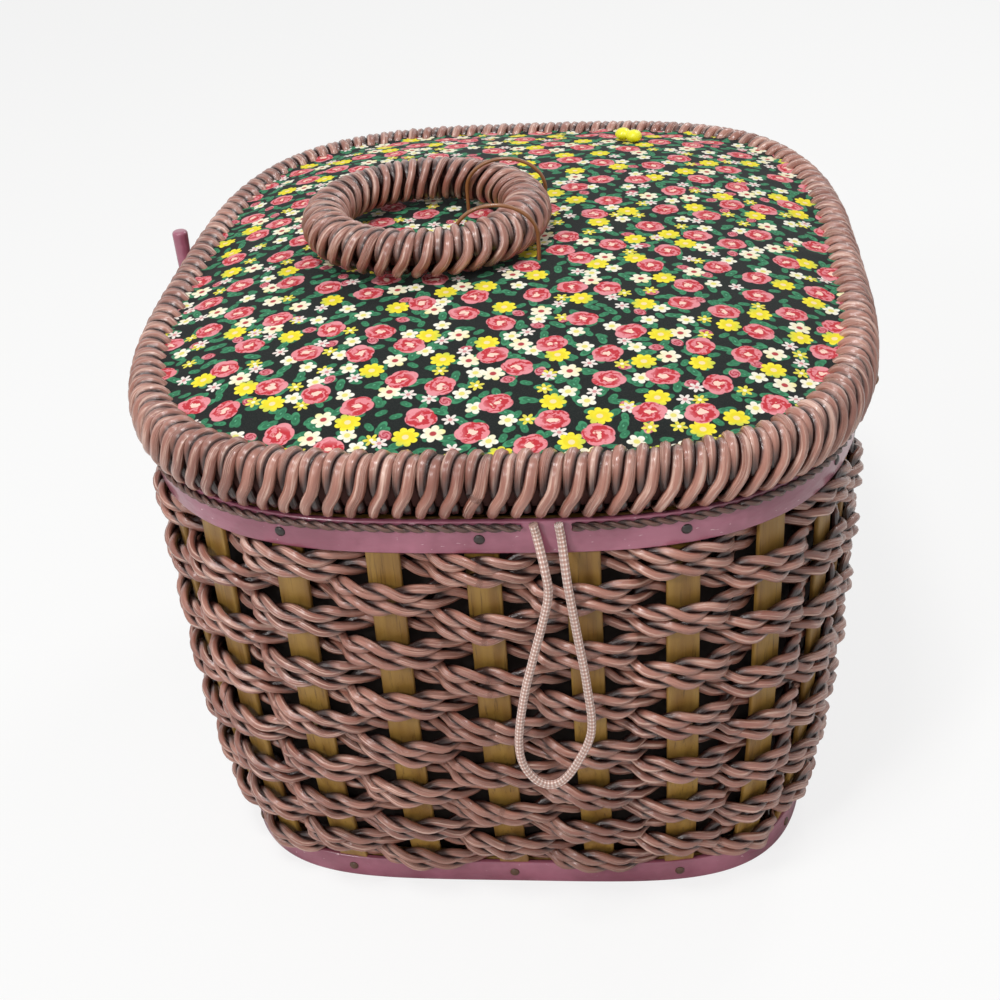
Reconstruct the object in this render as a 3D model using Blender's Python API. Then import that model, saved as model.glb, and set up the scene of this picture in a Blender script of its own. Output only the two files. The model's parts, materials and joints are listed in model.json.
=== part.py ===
"""Sewing basket: woven body on wooden stakes, padded lid, wrapped rim and ring handle.

Metres, +Z up. The origin is the centre of the base's underside. The basket's long side runs along Y.
The lid opens about the +X long side, and the peg stands at the -X long side.
"""

import math

import bpy
import bmesh
import numpy as np
from mathutils import Matrix

# Driving sizes, outside measures of the basket
BODY_WIDTH = 0.2085
BODY_LENGTH = 0.2545
BODY_HEIGHT = 0.1480
BASE_WIDTH = 0.184
BASE_LENGTH = 0.2065
LID_WIDTH = 0.2165
LID_LENGTH = 0.261

# Plan and side curves: powers of the rounded rectangle, and of the wall's inward curve
PLAN_POWER = 3.25
BASE_PLAN_POWER = 4.6
WALL_CURVE_POWER = 2.8

# How much closer the stakes stand at the base's corners, as a share of their spacing
CORNER_DRAW_SHARE = 0.20

# Gaps
SEAT_GAP = 0.0003
CORD_GAP = 0.0006
OVERRUN = 0.002

# Wall
STAKE_COUNT = 30
STAKE_WIDTH = 0.009
STAKE_THICKNESS = 0.0016
BAND_THICKNESS = 0.0018
BAND_HEIGHT = 0.0098
BASE_BAND_HEIGHT = 0.0080
BASE_BOARD_HEIGHT = 0.0060
HOOP_HEIGHT = 0.0092
ROW_COUNT = 14
ROW_GAP = 0.00035
ROPE_THICKNESS = 0.0044
STAKE_CLEARANCE = 0.0009
LINING_THICKNESS = 0.0014
LINING_DROP = 0.0010
FLOOR_THICKNESS = 0.0018

# Lid
RIM_WIDTH = 0.0118
RIM_HEIGHT = 0.0180
RIM_RIB_COUNT = 68
RIM_RIB_DEPTH = 0.0008
RIM_SECTION_POWER = 3.0
FRAME_THICKNESS = 0.0020
FRAME_HEIGHT = 0.0090
FRAME_LIFT = 0.0010
LINING_PANEL_THICKNESS = 0.0010
LINING_PANEL_LIFT = 0.0016
LID_BOARD_THICKNESS = 0.0024
PAD_EDGE_DROP = 0.0022
PAD_CROWN = 0.0078
PAD_CROWN_POWER = 3.0
DIMPLE_DEPTH = 0.0016
DIMPLE_RADIUS_X = 0.020
DIMPLE_RADIUS_Y = 0.028

# Ring handle and the two wires that hold it
RING_RADIUS = 0.031
RING_CENTRE_X = -0.0255
RING_CORE_RADIUS = 0.0040
RING_WRAP_THICKNESS = 0.0028
RING_WRAP_WIDTH = 0.0064
RING_WRAP_CLEARANCE = 0.0007
RING_TURNS = 24
WIRE_RADIUS = 0.0006
WIRE_SPREAD = 0.020
WIRE_LEFT_REACH = 0.0130
WIRE_RIGHT_REACH = 0.0121
WIRE_TOP_REACH = 0.0098
WIRE_SHOULDER = 0.0050
WIRE_HOLE_RADIUS = 0.0011
PIVOT_DROP = 0.0030

# Wire hinges on the +X side
HINGE_SPREAD = 0.045
HINGE_WIRE_RADIUS = 0.0007
HINGE_EYE_RADIUS = 0.0019
HINGE_REACH = 0.0020
HINGE_LINK_HALF = 0.0050
HINGE_LINK_BEND = 0.0012
HINGE_LINK_LEAN = 0.0016
HINGE_LINK_RISE = 0.0002

# Peg and its staple on the -X side
PEG_Y = 0.0255
PEG_REACH = 0.0088
PEG_TOP_RADIUS = 0.0026
PEG_FOOT_RADIUS = 0.0017
PEG_LENGTH = 0.046
PEG_TIP_DROP = 0.0004
PEG_TIP_ROUND = 0.0012
STAPLE_WIRE_RADIUS = 0.0008
STAPLE_HALF_WIDTH = 0.0036

# Braided stay cord, caught outside at the -Y end
STAY_DIAMETER = 0.0023
STAY_POINT_STEP = 0.0046

# Yellow pin in the pad, placed by shares of the lid's half width and half length
PIN_X_SHARE = 0.3320
PIN_Y_SHARE = 0.7430
PIN_LOBE_RADIUS = 0.0036
PIN_LOBE_SPREAD = 0.0030
PIN_HEIGHT_SHARE = 0.75

# Faceting
PLAN_SAMPLES = 1440
LID_COLUMNS = 48
LINING_LEVELS = 2
STAKE_LEVELS = 6
STAKE_LEVEL_POWER = 1.15
PAD_RING_SHARES = (0.96, 0.86, 0.70, 0.52, 0.34, 0.22, 0.10)
RIM_SECTION_POINTS = 8
RING_SECTION_POINTS = 7
ARC_STEPS = 8
WRAP_STEPS = 8
WRAP_SECTION_POINTS = 5
EDGE_SAMPLES = 6
HOLE_SIDES = 8
PEG_SIDES = 10
ROUTE_SAMPLES = 24

# Derived levels and places
HALF_STAKE = STAKE_THICKNESS / 2
BAND_INNER = HALF_STAKE + SEAT_GAP
BAND_OUTER = BAND_INNER + BAND_THICKNESS
ROPE_OUTER = HALF_STAKE + SEAT_GAP + ROPE_THICKNESS
LINING_OUTER = -ROPE_OUTER - SEAT_GAP
LINING_INNER = LINING_OUTER - LINING_THICKNESS
BAND_BOTTOM = BODY_HEIGHT - BAND_HEIGHT
HOOP_BOTTOM = BODY_HEIGHT - HOOP_HEIGHT
ROWS_BOTTOM = BASE_BAND_HEIGHT + SEAT_GAP
ROWS_TOP = BAND_BOTTOM - SEAT_GAP
ROW_PITCH = (ROWS_TOP - ROWS_BOTTOM) / ROW_COUNT
RIM_BOTTOM = BODY_HEIGHT + SEAT_GAP
RIM_TOP = RIM_BOTTOM + RIM_HEIGHT
FRAME_BOTTOM = RIM_BOTTOM + FRAME_LIFT
FRAME_TOP = FRAME_BOTTOM + FRAME_HEIGHT
PANEL_BOTTOM = RIM_BOTTOM + LINING_PANEL_LIFT
BOARD_BOTTOM = PANEL_BOTTOM + LINING_PANEL_THICKNESS + SEAT_GAP
BOARD_TOP = BOARD_BOTTOM + LID_BOARD_THICKNESS
PAD_EDGE = RIM_TOP - PAD_EDGE_DROP
LID_INNER = -RIM_WIDTH - SEAT_GAP
FRAME_INNER = LID_INNER - FRAME_THICKNESS
PANEL_OUTER = FRAME_INNER - SEAT_GAP
RING_RADIUS_OUTSIDE = RING_CORE_RADIUS + RING_WRAP_CLEARANCE + RING_WRAP_THICKNESS
PIVOT_X = RING_CENTRE_X + math.sqrt(RING_RADIUS ** 2 - WIRE_SPREAD ** 2)
HINGE_X = BODY_WIDTH / 2 + HINGE_REACH
HINGE_Z = BODY_HEIGHT - BAND_HEIGHT / 2
PEG_X = -BODY_WIDTH / 2 - PEG_REACH
PEG_TOP = RIM_TOP - PEG_TIP_DROP

# Colours, sRGB
DUSTY_ROSE = "A87E70"
MAUVE_LACQUER = "B0748A"
STAKE_WOOD = "9A7A3C"
PLYWOOD = "B99A6B"
LINING_FABRIC = "C98F9A"
PRINT_GROUND = "1E2624"
COATED_WIRE = "8C5A32"
BRAID = "D2AFA3"
PIN_YELLOW = "EBE41A"


def linear(hex_code):
    """Turns an sRGB hex code into the linear colour that a shader takes."""
    channels = [int(hex_code[i:i + 2], 16) / 255 for i in (0, 2, 4)]
    values = [c / 12.92 if c <= 0.04045 else ((c + 0.055) / 1.055) ** 2.4 for c in channels]
    return (*values, 1.0)


def make_material(name, hex_code, roughness, metallic=0.0):
    """Makes a Principled material of one colour."""
    material = bpy.data.materials.new(name)
    material.use_nodes = True
    shader = material.node_tree.nodes["Principled BSDF"]
    shader.inputs["Base Color"].default_value = linear(hex_code)
    shader.inputs["Roughness"].default_value = roughness
    shader.inputs["Metallic"].default_value = metallic
    return material


def clear_scene():
    """Removes every object of the open scene."""
    for old in list(bpy.data.objects):
        bpy.data.objects.remove(old, do_unlink=True)


class Plan:
    """A rounded rectangle seen from above, walked by shares of its length from the middle of the -Y end."""

    def __init__(self, half_x, half_y, power):
        angles = np.linspace(-math.pi / 2, 3 * math.pi / 2, PLAN_SAMPLES + 1)
        cosines, sines = np.cos(angles), np.sin(angles)
        radii = (np.abs(cosines / half_x) ** power + np.abs(sines / half_y) ** power) ** (-1 / power)
        self.points = np.column_stack([radii * cosines, radii * sines])
        slopes = np.column_stack([
            np.sign(cosines) * np.abs(self.points[:, 0]) ** (power - 1) / half_x ** power,
            np.sign(sines) * np.abs(self.points[:, 1]) ** (power - 1) / half_y ** power])
        self.normals = slopes / np.linalg.norm(slopes, axis=1)[:, None]
        steps = np.linalg.norm(np.diff(self.points, axis=0), axis=1)
        self.walked = np.concatenate([[0.0], np.cumsum(steps)])
        self.length = self.walked[-1]

    def at(self, share, offset=0.0):
        """Gives the point at a share of the way round, moved outwards by offset."""
        place = (share % 1.0) * self.length
        point = [np.interp(place, self.walked, self.points[:, i]) for i in (0, 1)]
        normal = [np.interp(place, self.walked, self.normals[:, i]) for i in (0, 1)]
        size = math.hypot(*normal)
        return (point[0] + offset * normal[0] / size, point[1] + offset * normal[1] / size)


class Wall:
    """The line through the middle of the stakes, which draws in towards the base."""

    def __init__(self):
        self.plans = {}

    def fullness(self, z):
        """Gives how far the wall has opened at a height: 0 at the base, 1 at the top."""
        height_share = min(max(z / BODY_HEIGHT, 0.0), 1.0)
        return 1 - (1 - height_share) ** WALL_CURVE_POWER

    def plan(self, z):
        """Gives the wall's plan at a height."""
        key = round(z, 7)
        if key not in self.plans:
            fullness = self.fullness(z)
            half_x = (BASE_WIDTH + (BODY_WIDTH - BASE_WIDTH) * fullness) / 2 - BAND_OUTER
            half_y = (BASE_LENGTH + (BODY_LENGTH - BASE_LENGTH) * fullness) / 2 - BAND_OUTER
            power = BASE_PLAN_POWER + (PLAN_POWER - BASE_PLAN_POWER) * fullness
            self.plans[key] = Plan(half_x, half_y, power)
        return self.plans[key]

    def at(self, share, z, offset=0.0):
        """Gives the point on the wall at a share round and a height, moved outwards by offset.

        Near the base the shares draw together towards the four corners, as the stakes do.
        """
        waves = 4 * 2 * math.pi
        draw = CORNER_DRAW_SHARE * (1 - self.fullness(z)) * math.sin(waves * share) / waves
        return (*self.plan(z).at(share + draw, offset), z)


WALL = Wall()
LID_PLAN = Plan(LID_WIDTH / 2, LID_LENGTH / 2, PLAN_POWER)


def add_mesh(name, points, faces, material, smooth_angle=math.radians(50)):
    """Makes an object from points and faces, with its faces turned outwards."""
    mesh = bpy.data.meshes.new(name)
    mesh.from_pydata(points, [], faces)
    work = bmesh.new()
    work.from_mesh(mesh)
    bmesh.ops.recalc_face_normals(work, faces=work.faces)
    work.to_mesh(mesh)
    work.free()
    mesh.materials.append(material)
    mesh.shade_smooth()
    mesh.set_sharp_from_angle(angle=smooth_angle)
    result = bpy.data.objects.new(name, mesh)
    bpy.context.collection.objects.link(result)
    return result


def ring_solid(name, sections, material):
    """Joins closed sections, each a list of points, into one closed ring."""
    size = len(sections[0])
    count = len(sections)
    points = [point for section in sections for point in section]
    faces = []
    for i in range(count):
        near, far = i * size, (i + 1) % count * size
        for j in range(size):
            k = (j + 1) % size
            faces.append((near + j, near + k, far + k, far + j))
    return add_mesh(name, points, faces, material)


def stacked_solid(name, outlines, material):
    """Joins outlines of equal count, from the bottom to the top, and closes both ends with a flat face."""
    size = len(outlines[0])
    points = [point for outline in outlines for point in outline]
    faces = [tuple(range(size)), tuple(range((len(outlines) - 1) * size, len(outlines) * size))]
    for i in range(len(outlines) - 1):
        low, high = i * size, (i + 1) * size
        for j in range(size):
            k = (j + 1) % size
            faces.append((low + j, low + k, high + k, high + j))
    return add_mesh(name, points, faces, material)


def tube(name, points, radius, material, resolution=1):
    """Makes a round tube with closed ends along points."""
    curve = bpy.data.curves.new(name, "CURVE")
    curve.dimensions = "3D"
    curve.bevel_depth = radius
    curve.bevel_resolution = resolution
    curve.use_fill_caps = True
    spline = curve.splines.new("POLY")
    spline.points.add(len(points) - 1)
    for target, point in zip(spline.points, points):
        target.co = (*point, 1.0)
    curve.materials.append(material)
    result = bpy.data.objects.new(name, curve)
    bpy.context.collection.objects.link(result)
    return result


def cut_holes(target, centres, radius, low, high):
    """Drills round holes along Z through the target."""
    bpy.ops.mesh.primitive_cylinder_add(vertices=HOLE_SIDES, radius=radius, depth=high - low)
    cutter = bpy.context.object
    cutter.name = target.name + "_drill"
    base = cutter.data.copy()
    work = bmesh.new()
    for x, y in centres:
        copy = base.copy()
        copy.transform(Matrix.Translation((x, y, (low + high) / 2)))
        work.from_mesh(copy)
    work.to_mesh(cutter.data)
    work.free()
    cutter.hide_render = True
    cutter.display_type = "WIRE"
    cut = target.modifiers.new("wire_holes", "BOOLEAN")
    cut.operation = "DIFFERENCE"
    cut.solver = "EXACT"
    cut.object = cutter


def stake_shares(clearance=0.0):
    """Gives the shares round the wall of both edges of each stake, widened by a clearance."""
    half = (STAKE_WIDTH / 2 + clearance) / WALL.plan(BODY_HEIGHT).length
    return [i / STAKE_COUNT + side * half for i in range(STAKE_COUNT) for side in (-1, 1)]


def wall_band(name, z_low, z_high, offset_in, offset_out, material, shares, levels=1):
    """Makes a closed band of the wall between two heights and two offsets from the stake line."""
    heights = [z_low + (z_high - z_low) * i / levels for i in range(levels + 1)]
    sections = []
    for share in shares:
        outer = [WALL.at(share, z, offset_out) for z in heights]
        inner = [WALL.at(share, z, offset_in) for z in reversed(heights)]
        sections.append(outer + inner)
    return ring_solid(name, sections, material)


def make_stake_frame(material):
    """Makes the wooden stakes with the hoops at their head and foot, as one pierced shell."""
    column_shares = stake_shares()
    foot = SEAT_GAP
    foot_top = ROWS_BOTTOM
    heights = [foot, foot_top]
    shares = [((i + 1) / STAKE_LEVELS) ** STAKE_LEVEL_POWER for i in range(STAKE_LEVELS)]
    heights += [foot_top + (HOOP_BOTTOM - foot_top) * share for share in shares]
    heights.append(BODY_HEIGHT - SEAT_GAP)
    columns, levels = len(column_shares), len(heights)
    points = [WALL.at(share, z, offset) for offset in (HALF_STAKE, -HALF_STAKE)
              for share in column_shares for z in heights]

    def index(side, i, j):
        return side * columns * levels + i % columns * levels + j

    def solid(i, j):
        return 0 <= j < levels - 1 and (i % 2 == 0 or j in (0, levels - 2))

    faces = []
    used = set()
    for i in range(columns):
        for j in range(levels - 1):
            if not solid(i, j):
                continue
            corners = ((i, j), (i + 1, j), (i + 1, j + 1), (i, j + 1))
            faces.append(tuple(index(0, *c) for c in corners))
            faces.append(tuple(index(1, *c) for c in reversed(corners)))
            beside = (((0, 1), (i, j - 1)), ((1, 2), (i + 1, j)), ((2, 3), (i, j + 1)), ((3, 0), (i - 1, j)))
            for (a, b), (i_next, j_next) in beside:
                if not solid(i_next, j_next):
                    first, second = corners[a], corners[b]
                    faces.append((index(0, *second), index(0, *first), index(1, *first), index(1, *second)))
    for face in faces:
        used.update(face)
    order = {old: new for new, old in enumerate(sorted(used))}
    kept = [points[old] for old in sorted(used)]
    return add_mesh("stake_frame", kept, [tuple(order[v] for v in face) for face in faces], material)


def make_weaver_rows(material):
    """Makes the woven rows: each goes outside one stake, inside the next, and the next row the other way."""
    shares = stake_shares(STAKE_CLEARANCE)
    middle = BAND_INNER + ROPE_THICKNESS / 2
    for row in range(ROW_COUNT):
        top = ROWS_TOP - row * ROW_PITCH
        bottom = top - ROW_PITCH + ROW_GAP
        sections = []
        for i, share in enumerate(shares):
            outside = (i // 2 + row) % 2 == 0
            centre = middle if outside else -middle
            outer, inner = centre + ROPE_THICKNESS / 2, centre - ROPE_THICKNESS / 2
            corners = ((bottom, outer), (top, outer), (top, inner), (bottom, inner))
            sections.append([WALL.at(share, z, offset) for z, offset in corners])
        ring_solid(f"weaver_row_{row + 1:02d}", sections, material)


def wall_outline(z, offset):
    """Gives the outline of the wall at a height, moved outwards by offset."""
    return [WALL.at(share, z, offset) for share in stake_shares()]


def lid_outline(z, offset):
    """Gives the outline of the lid at a height, moved outwards by offset."""
    return [(*LID_PLAN.at(i / LID_COLUMNS, offset), z) for i in range(LID_COLUMNS)]


def make_body(rose, mauve, wood, ply, lining):
    """Makes the basket below its lid."""
    board_top = BASE_BOARD_HEIGHT
    stacked_solid("base_board", [wall_outline(0.0, -BAND_INNER), wall_outline(board_top, -BAND_INNER)], ply)
    wall_band("base_band", 0.0, BASE_BAND_HEIGHT, BAND_INNER, BAND_OUTER, mauve, stake_shares())
    make_stake_frame(wood)
    make_weaver_rows(rose)
    wall_band("top_band", BAND_BOTTOM, BODY_HEIGHT, BAND_INNER, BAND_OUTER, mauve, stake_shares())
    lining_bottom = board_top + SEAT_GAP
    lining_top = BODY_HEIGHT - LINING_DROP
    wall_band("lining_wall", lining_bottom, lining_top, LINING_INNER, LINING_OUTER, lining,
              stake_shares(STAKE_CLEARANCE), LINING_LEVELS)
    floor_offset = LINING_INNER - STAKE_CLEARANCE
    floor_levels = (lining_bottom, lining_bottom + FLOOR_THICKNESS)
    stacked_solid("lining_floor", [wall_outline(z, floor_offset) for z in floor_levels], lining)


def make_lid_rim(material):
    """Makes the rim: a hoop wrapped side by side with rope, whose turns stand out as ribs."""
    sections = []
    for i in range(2 * RIM_RIB_COUNT):
        sunk = 0.0 if i % 2 == 0 else RIM_RIB_DEPTH
        half_width = RIM_WIDTH / 2 - sunk
        half_height = RIM_HEIGHT / 2 - sunk
        section = []
        for j in range(RIM_SECTION_POINTS):
            angle = 2 * math.pi * (j + 0.5) / RIM_SECTION_POINTS
            cosine, sine = math.cos(angle), math.sin(angle)
            spread = abs(cosine) ** RIM_SECTION_POWER + abs(sine) ** RIM_SECTION_POWER
            reach = spread ** (-1 / RIM_SECTION_POWER)
            offset = -RIM_WIDTH / 2 + half_width * reach * cosine
            z = RIM_BOTTOM + RIM_HEIGHT / 2 + half_height * reach * sine
            section.append((*LID_PLAN.at(i / (2 * RIM_RIB_COUNT), offset), z))
        sections.append(section)
    return ring_solid("lid_rim", sections, material)


def pad_half_sizes():
    """Gives the pad's half width and half length where it meets the rim."""
    return LID_WIDTH / 2 + LID_INNER, LID_LENGTH / 2 + LID_INNER


def pad_height(x, y):
    """Gives the height of the pad's top at a place: a crown, dented where the wires draw the ring down."""
    half_x, half_y = pad_half_sizes()
    reach = (abs(x / half_x) ** PLAN_POWER + abs(y / half_y) ** PLAN_POWER) ** (1 / PLAN_POWER)
    crown = PAD_CROWN * (1 - min(reach, 1.0) ** PAD_CROWN_POWER)
    away = math.hypot((x - PIVOT_X) / DIMPLE_RADIUS_X, y / DIMPLE_RADIUS_Y)
    dent = DIMPLE_DEPTH * (1 + math.cos(math.pi * away)) / 2 if away < 1 else 0.0
    return PAD_EDGE + crown - dent


def make_lid_pad(material):
    """Makes the padded top: a plug inside the hoop, a shoulder over it, drawn-in edge and crown."""
    pad_bottom = BOARD_TOP + SEAT_GAP
    shoulder = FRAME_TOP + SEAT_GAP
    outlines = [
        lid_outline(pad_bottom, PANEL_OUTER),
        lid_outline(shoulder, PANEL_OUTER),
        lid_outline(shoulder, LID_INNER),
        lid_outline(PAD_EDGE, LID_INNER)]
    edge = lid_outline(PAD_EDGE, LID_INNER)
    for share in PAD_RING_SHARES:
        outlines.append([(x * share, y * share, pad_height(x * share, y * share)) for x, y, _ in edge])
    pad = stacked_solid("lid_pad", outlines, material)
    work = bmesh.new()
    work.from_mesh(pad.data)
    top = max(work.faces, key=lambda face: face.calc_center_median().z)
    bmesh.ops.poke(work, faces=[top])
    crown = max(work.verts, key=lambda vert: -math.hypot(vert.co.x, vert.co.y) + vert.co.z)
    crown.co.z = pad_height(crown.co.x, crown.co.y)
    work.to_mesh(pad.data)
    work.free()
    return pad


def ring_level():
    """Gives the height of the ring's centre line: its wrap rests on the pad's highest place under it."""
    highest = 0.0
    for i in range(PLAN_SAMPLES):
        angle = 2 * math.pi * i / PLAN_SAMPLES
        x = RING_CENTRE_X + RING_RADIUS * math.cos(angle)
        y = RING_RADIUS * math.sin(angle)
        highest = max(highest, pad_height(x, y))
    return highest + SEAT_GAP + RING_RADIUS_OUTSIDE


def wire_feet():
    """Gives the four places where the wires go down into the pad."""
    reaches = (-WIRE_LEFT_REACH, WIRE_RIGHT_REACH)
    return [(PIVOT_X + reach, y) for y in (-WIRE_SPREAD, WIRE_SPREAD) for reach in reaches]


def make_ring_core(level, material):
    """Makes the round core of the ring handle."""
    sections = []
    for i in range(RING_TURNS):
        angle = 2 * math.pi * i / RING_TURNS
        section = []
        for j in range(RING_SECTION_POINTS):
            turn = 2 * math.pi * j / RING_SECTION_POINTS
            reach = RING_RADIUS + RING_CORE_RADIUS * math.cos(turn)
            section.append((RING_CENTRE_X + reach * math.cos(angle), reach * math.sin(angle),
                            level + RING_CORE_RADIUS * math.sin(turn)))
        sections.append(section)
    return ring_solid("handle_core", sections, material)


def wrap_frame(turn_share, level):
    """Gives the wrap's centre, its outward direction and its sideways direction at a share of its length."""
    around = 2 * math.pi * turn_share
    turn = 2 * math.pi * RING_TURNS * turn_share
    radius = RING_RADIUS_OUTSIDE - RING_WRAP_THICKNESS / 2
    heading = np.array([math.cos(around), math.sin(around), 0.0])
    up = np.array([0.0, 0.0, 1.0])
    outward = heading * math.cos(turn) + up * math.sin(turn)
    centre = np.array([RING_CENTRE_X, 0.0, level]) + heading * RING_RADIUS + outward * radius
    along_ring = np.array([-math.sin(around), math.cos(around), 0.0])
    along_turn = -heading * math.sin(turn) + up * math.cos(turn)
    speed = along_ring * (RING_RADIUS + radius * math.cos(turn)) + along_turn * radius * RING_TURNS
    sideways = np.cross(speed / np.linalg.norm(speed), outward)
    return centre, outward, sideways / np.linalg.norm(sideways)


def make_ring_wrap(level, material):
    """Makes the rope wound round the ring as one unbroken flat band that closes on itself."""
    count = RING_TURNS * WRAP_STEPS
    sections = []
    for i in range(count):
        centre, outward, sideways = wrap_frame(i / count, level)
        section = []
        for j in range(WRAP_SECTION_POINTS):
            angle = 2 * math.pi * j / WRAP_SECTION_POINTS
            point = (centre + outward * math.cos(angle) * RING_WRAP_THICKNESS / 2
                     + sideways * math.sin(angle) * RING_WRAP_WIDTH / 2)
            section.append(tuple(point))
        sections.append(section)
    report_wrap_gap(sections)
    return ring_solid("handle_wrap", sections, material)


def report_wrap_gap(sections):
    """Prints the least gap between the wrap's neighbouring turns, measured between points on them."""
    least = math.inf
    dense = [np.linspace(section[j], section[(j + 1) % len(section)], EDGE_SAMPLES) for section in sections
             for j in range(len(section))]
    points = np.array(dense).reshape(len(sections), -1, 3)
    skip = WRAP_STEPS // 2
    for i in range(len(sections)):
        for step in range(skip, WRAP_STEPS + skip):
            other = points[(i + step) % len(sections)]
            gaps = np.linalg.norm(points[i][:, None, :] - other[None, :, :], axis=2)
            least = min(least, gaps.min())
    print(f"least gap between the turns of handle_wrap: {least * 1000:.2f} mm")


def make_handle_wires(level, material):
    """Makes the two coated wires that go over the ring and down into the pad."""
    left, right = PIVOT_X - WIRE_LEFT_REACH, PIVOT_X + WIRE_RIGHT_REACH
    shoulder = level + WIRE_TOP_REACH - WIRE_SHOULDER
    rise = arc((left + WIRE_SHOULDER, shoulder), WIRE_SHOULDER, math.pi, math.pi / 2)
    fall = arc((right - WIRE_SHOULDER, shoulder), WIRE_SHOULDER, math.pi / 2, 0.0)
    arch = [(left, BOARD_BOTTOM)] + rise[::2] + fall[::2] + [(right, BOARD_BOTTOM)]
    for name, y in (("handle_wire_near", -WIRE_SPREAD), ("handle_wire_far", WIRE_SPREAD)):
        tube(name, [(x, y, z) for x, z in arch], WIRE_RADIUS, material)


def make_lid(rose, ply, lining, fabric, wire):
    """Makes the lid with its rim, pad, boards, ring handle and wires."""
    make_lid_rim(rose)
    frame_sections = []
    low, high = FRAME_BOTTOM, FRAME_TOP
    corners = ((low, LID_INNER), (high, LID_INNER), (high, FRAME_INNER), (low, FRAME_INNER))
    for i in range(LID_COLUMNS):
        frame_sections.append([(*LID_PLAN.at(i / LID_COLUMNS, offset), z) for z, offset in corners])
    ring_solid("lid_frame", frame_sections, ply)
    panel_levels = (PANEL_BOTTOM, PANEL_BOTTOM + LINING_PANEL_THICKNESS)
    stacked_solid("lid_lining", [lid_outline(z, PANEL_OUTER) for z in panel_levels], lining)
    board_levels = (BOARD_BOTTOM, BOARD_TOP)
    board = stacked_solid("lid_board", [lid_outline(z, PANEL_OUTER) for z in board_levels], ply)
    pad = make_lid_pad(fabric)
    drill_top = PAD_EDGE + PAD_CROWN + OVERRUN
    for target in (board, pad):
        cut_holes(target, wire_feet(), WIRE_HOLE_RADIUS, BOARD_BOTTOM - OVERRUN, drill_top)
    level = ring_level()
    make_ring_core(level, rose)
    make_ring_wrap(level, rose)
    make_handle_wires(level, wire)
    print(f"ring level {level:.5f}, pivot x {PIVOT_X:.5f}, pivot z {level - PIVOT_DROP:.5f}")


def arc(centre, radius, first, last):
    """Gives the points of an arc in a plane, from one angle to another."""
    angles = [first + (last - first) * i / ARC_STEPS for i in range(ARC_STEPS + 1)]
    return [(centre[0] + radius * math.cos(a), centre[1] + radius * math.sin(a)) for a in angles]


def band_face(z, y):
    """Gives the half width of the top band's outer face at a height and a place along Y."""
    plan = WALL.plan(z)
    outer = plan.points + plan.normals * BAND_OUTER
    right = outer[outer[:, 0] > BODY_WIDTH / 4]
    return float(np.interp(y, right[:, 1], right[:, 0]))


def make_hinges(wire):
    """Makes two wire hinges: an eye on the band and a link through it that hangs from the rim."""
    for place, y in (("near", -HINGE_SPREAD), ("far", HINGE_SPREAD)):
        face = band_face(HINGE_Z, y) + SEAT_GAP
        bow = arc((HINGE_X, HINGE_Z), HINGE_EYE_RADIUS, math.pi / 2, -math.pi / 2)
        eye = [(face, y, bow[0][1])] + [(x, y, z) for x, z in bow] + [(face, y, bow[-1][1])]
        tube(f"hinge_eye_{place}", eye, HINGE_WIRE_RADIUS, wire)
        half = [
            (HINGE_X - HINGE_LINK_LEAN, HINGE_LINK_HALF, RIM_BOTTOM + HINGE_LINK_RISE),
            (HINGE_X, HINGE_LINK_HALF, HINGE_Z + HINGE_LINK_BEND),
            (HINGE_X, HINGE_LINK_HALF - HINGE_LINK_BEND, HINGE_Z)]
        link = [(x, y - reach, z) for x, reach, z in half]
        link += [(x, y + reach, z) for x, reach, z in reversed(half)]
        tube(f"hinge_link_{place}", link, HINGE_WIRE_RADIUS, wire)


def make_peg(mauve, wire):
    """Makes the tapered peg and the staple on the band that it stands in."""
    half = PEG_LENGTH / 2
    bpy.ops.mesh.primitive_cone_add(
        vertices=PEG_SIDES, radius1=PEG_FOOT_RADIUS, radius2=PEG_TOP_RADIUS, depth=PEG_LENGTH)
    peg = bpy.context.object
    peg.name = "closure_peg"
    peg.data.materials.append(mauve)
    work = bmesh.new()
    work.from_mesh(peg.data)
    rims = [edge for edge in work.edges if min(vert.co.z for vert in edge.verts) > half - SEAT_GAP]
    bmesh.ops.bevel(work, geom=rims, offset=PEG_TIP_ROUND, segments=2, affect="EDGES", profile=0.5)
    work.to_mesh(peg.data)
    work.free()
    peg.location = (PEG_X, PEG_Y, PEG_TOP - half)
    face = -band_face(HINGE_Z, PEG_Y) - SEAT_GAP
    bow = arc((PEG_X, PEG_Y), STAPLE_HALF_WIDTH, -math.pi / 2, -3 * math.pi / 2)
    route = [(face, bow[0][1], HINGE_Z)] + [(x, y, HINGE_Z) for x, y in bow] + [(face, bow[-1][1], HINGE_Z)]
    tube("peg_staple", route, STAPLE_WIRE_RADIUS, wire)


def smooth_route(points, step):
    """Reads evenly spaced points from a smooth curve through the route's own points."""
    route = np.array(points)
    padded = np.vstack([2 * route[0] - route[1], route, 2 * route[-1] - route[-2]])
    dense = []
    for i in range(1, len(padded) - 2):
        p0, p1, p2, p3 = padded[i - 1:i + 3]
        for t in np.linspace(0, 1, ROUTE_SAMPLES, endpoint=False):
            dense.append(0.5 * (2 * p1 + (p2 - p0) * t + (2 * p0 - 5 * p1 + 4 * p2 - p3) * t ** 2
                                + (3 * p1 - p0 - 3 * p2 + p3) * t ** 3))
    dense.append(route[-1])
    dense = np.array(dense)
    walked = np.concatenate([[0.0], np.cumsum(np.linalg.norm(np.diff(dense, axis=0), axis=1))])
    count = max(int(round(walked[-1] / step)), 2)
    places = np.linspace(0, walked[-1], count + 1)
    print(f"lid_stay length {walked[-1]:.4f} m")
    return [tuple(np.interp(place, walked, dense[:, i]) for i in range(3)) for place in places]


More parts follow.
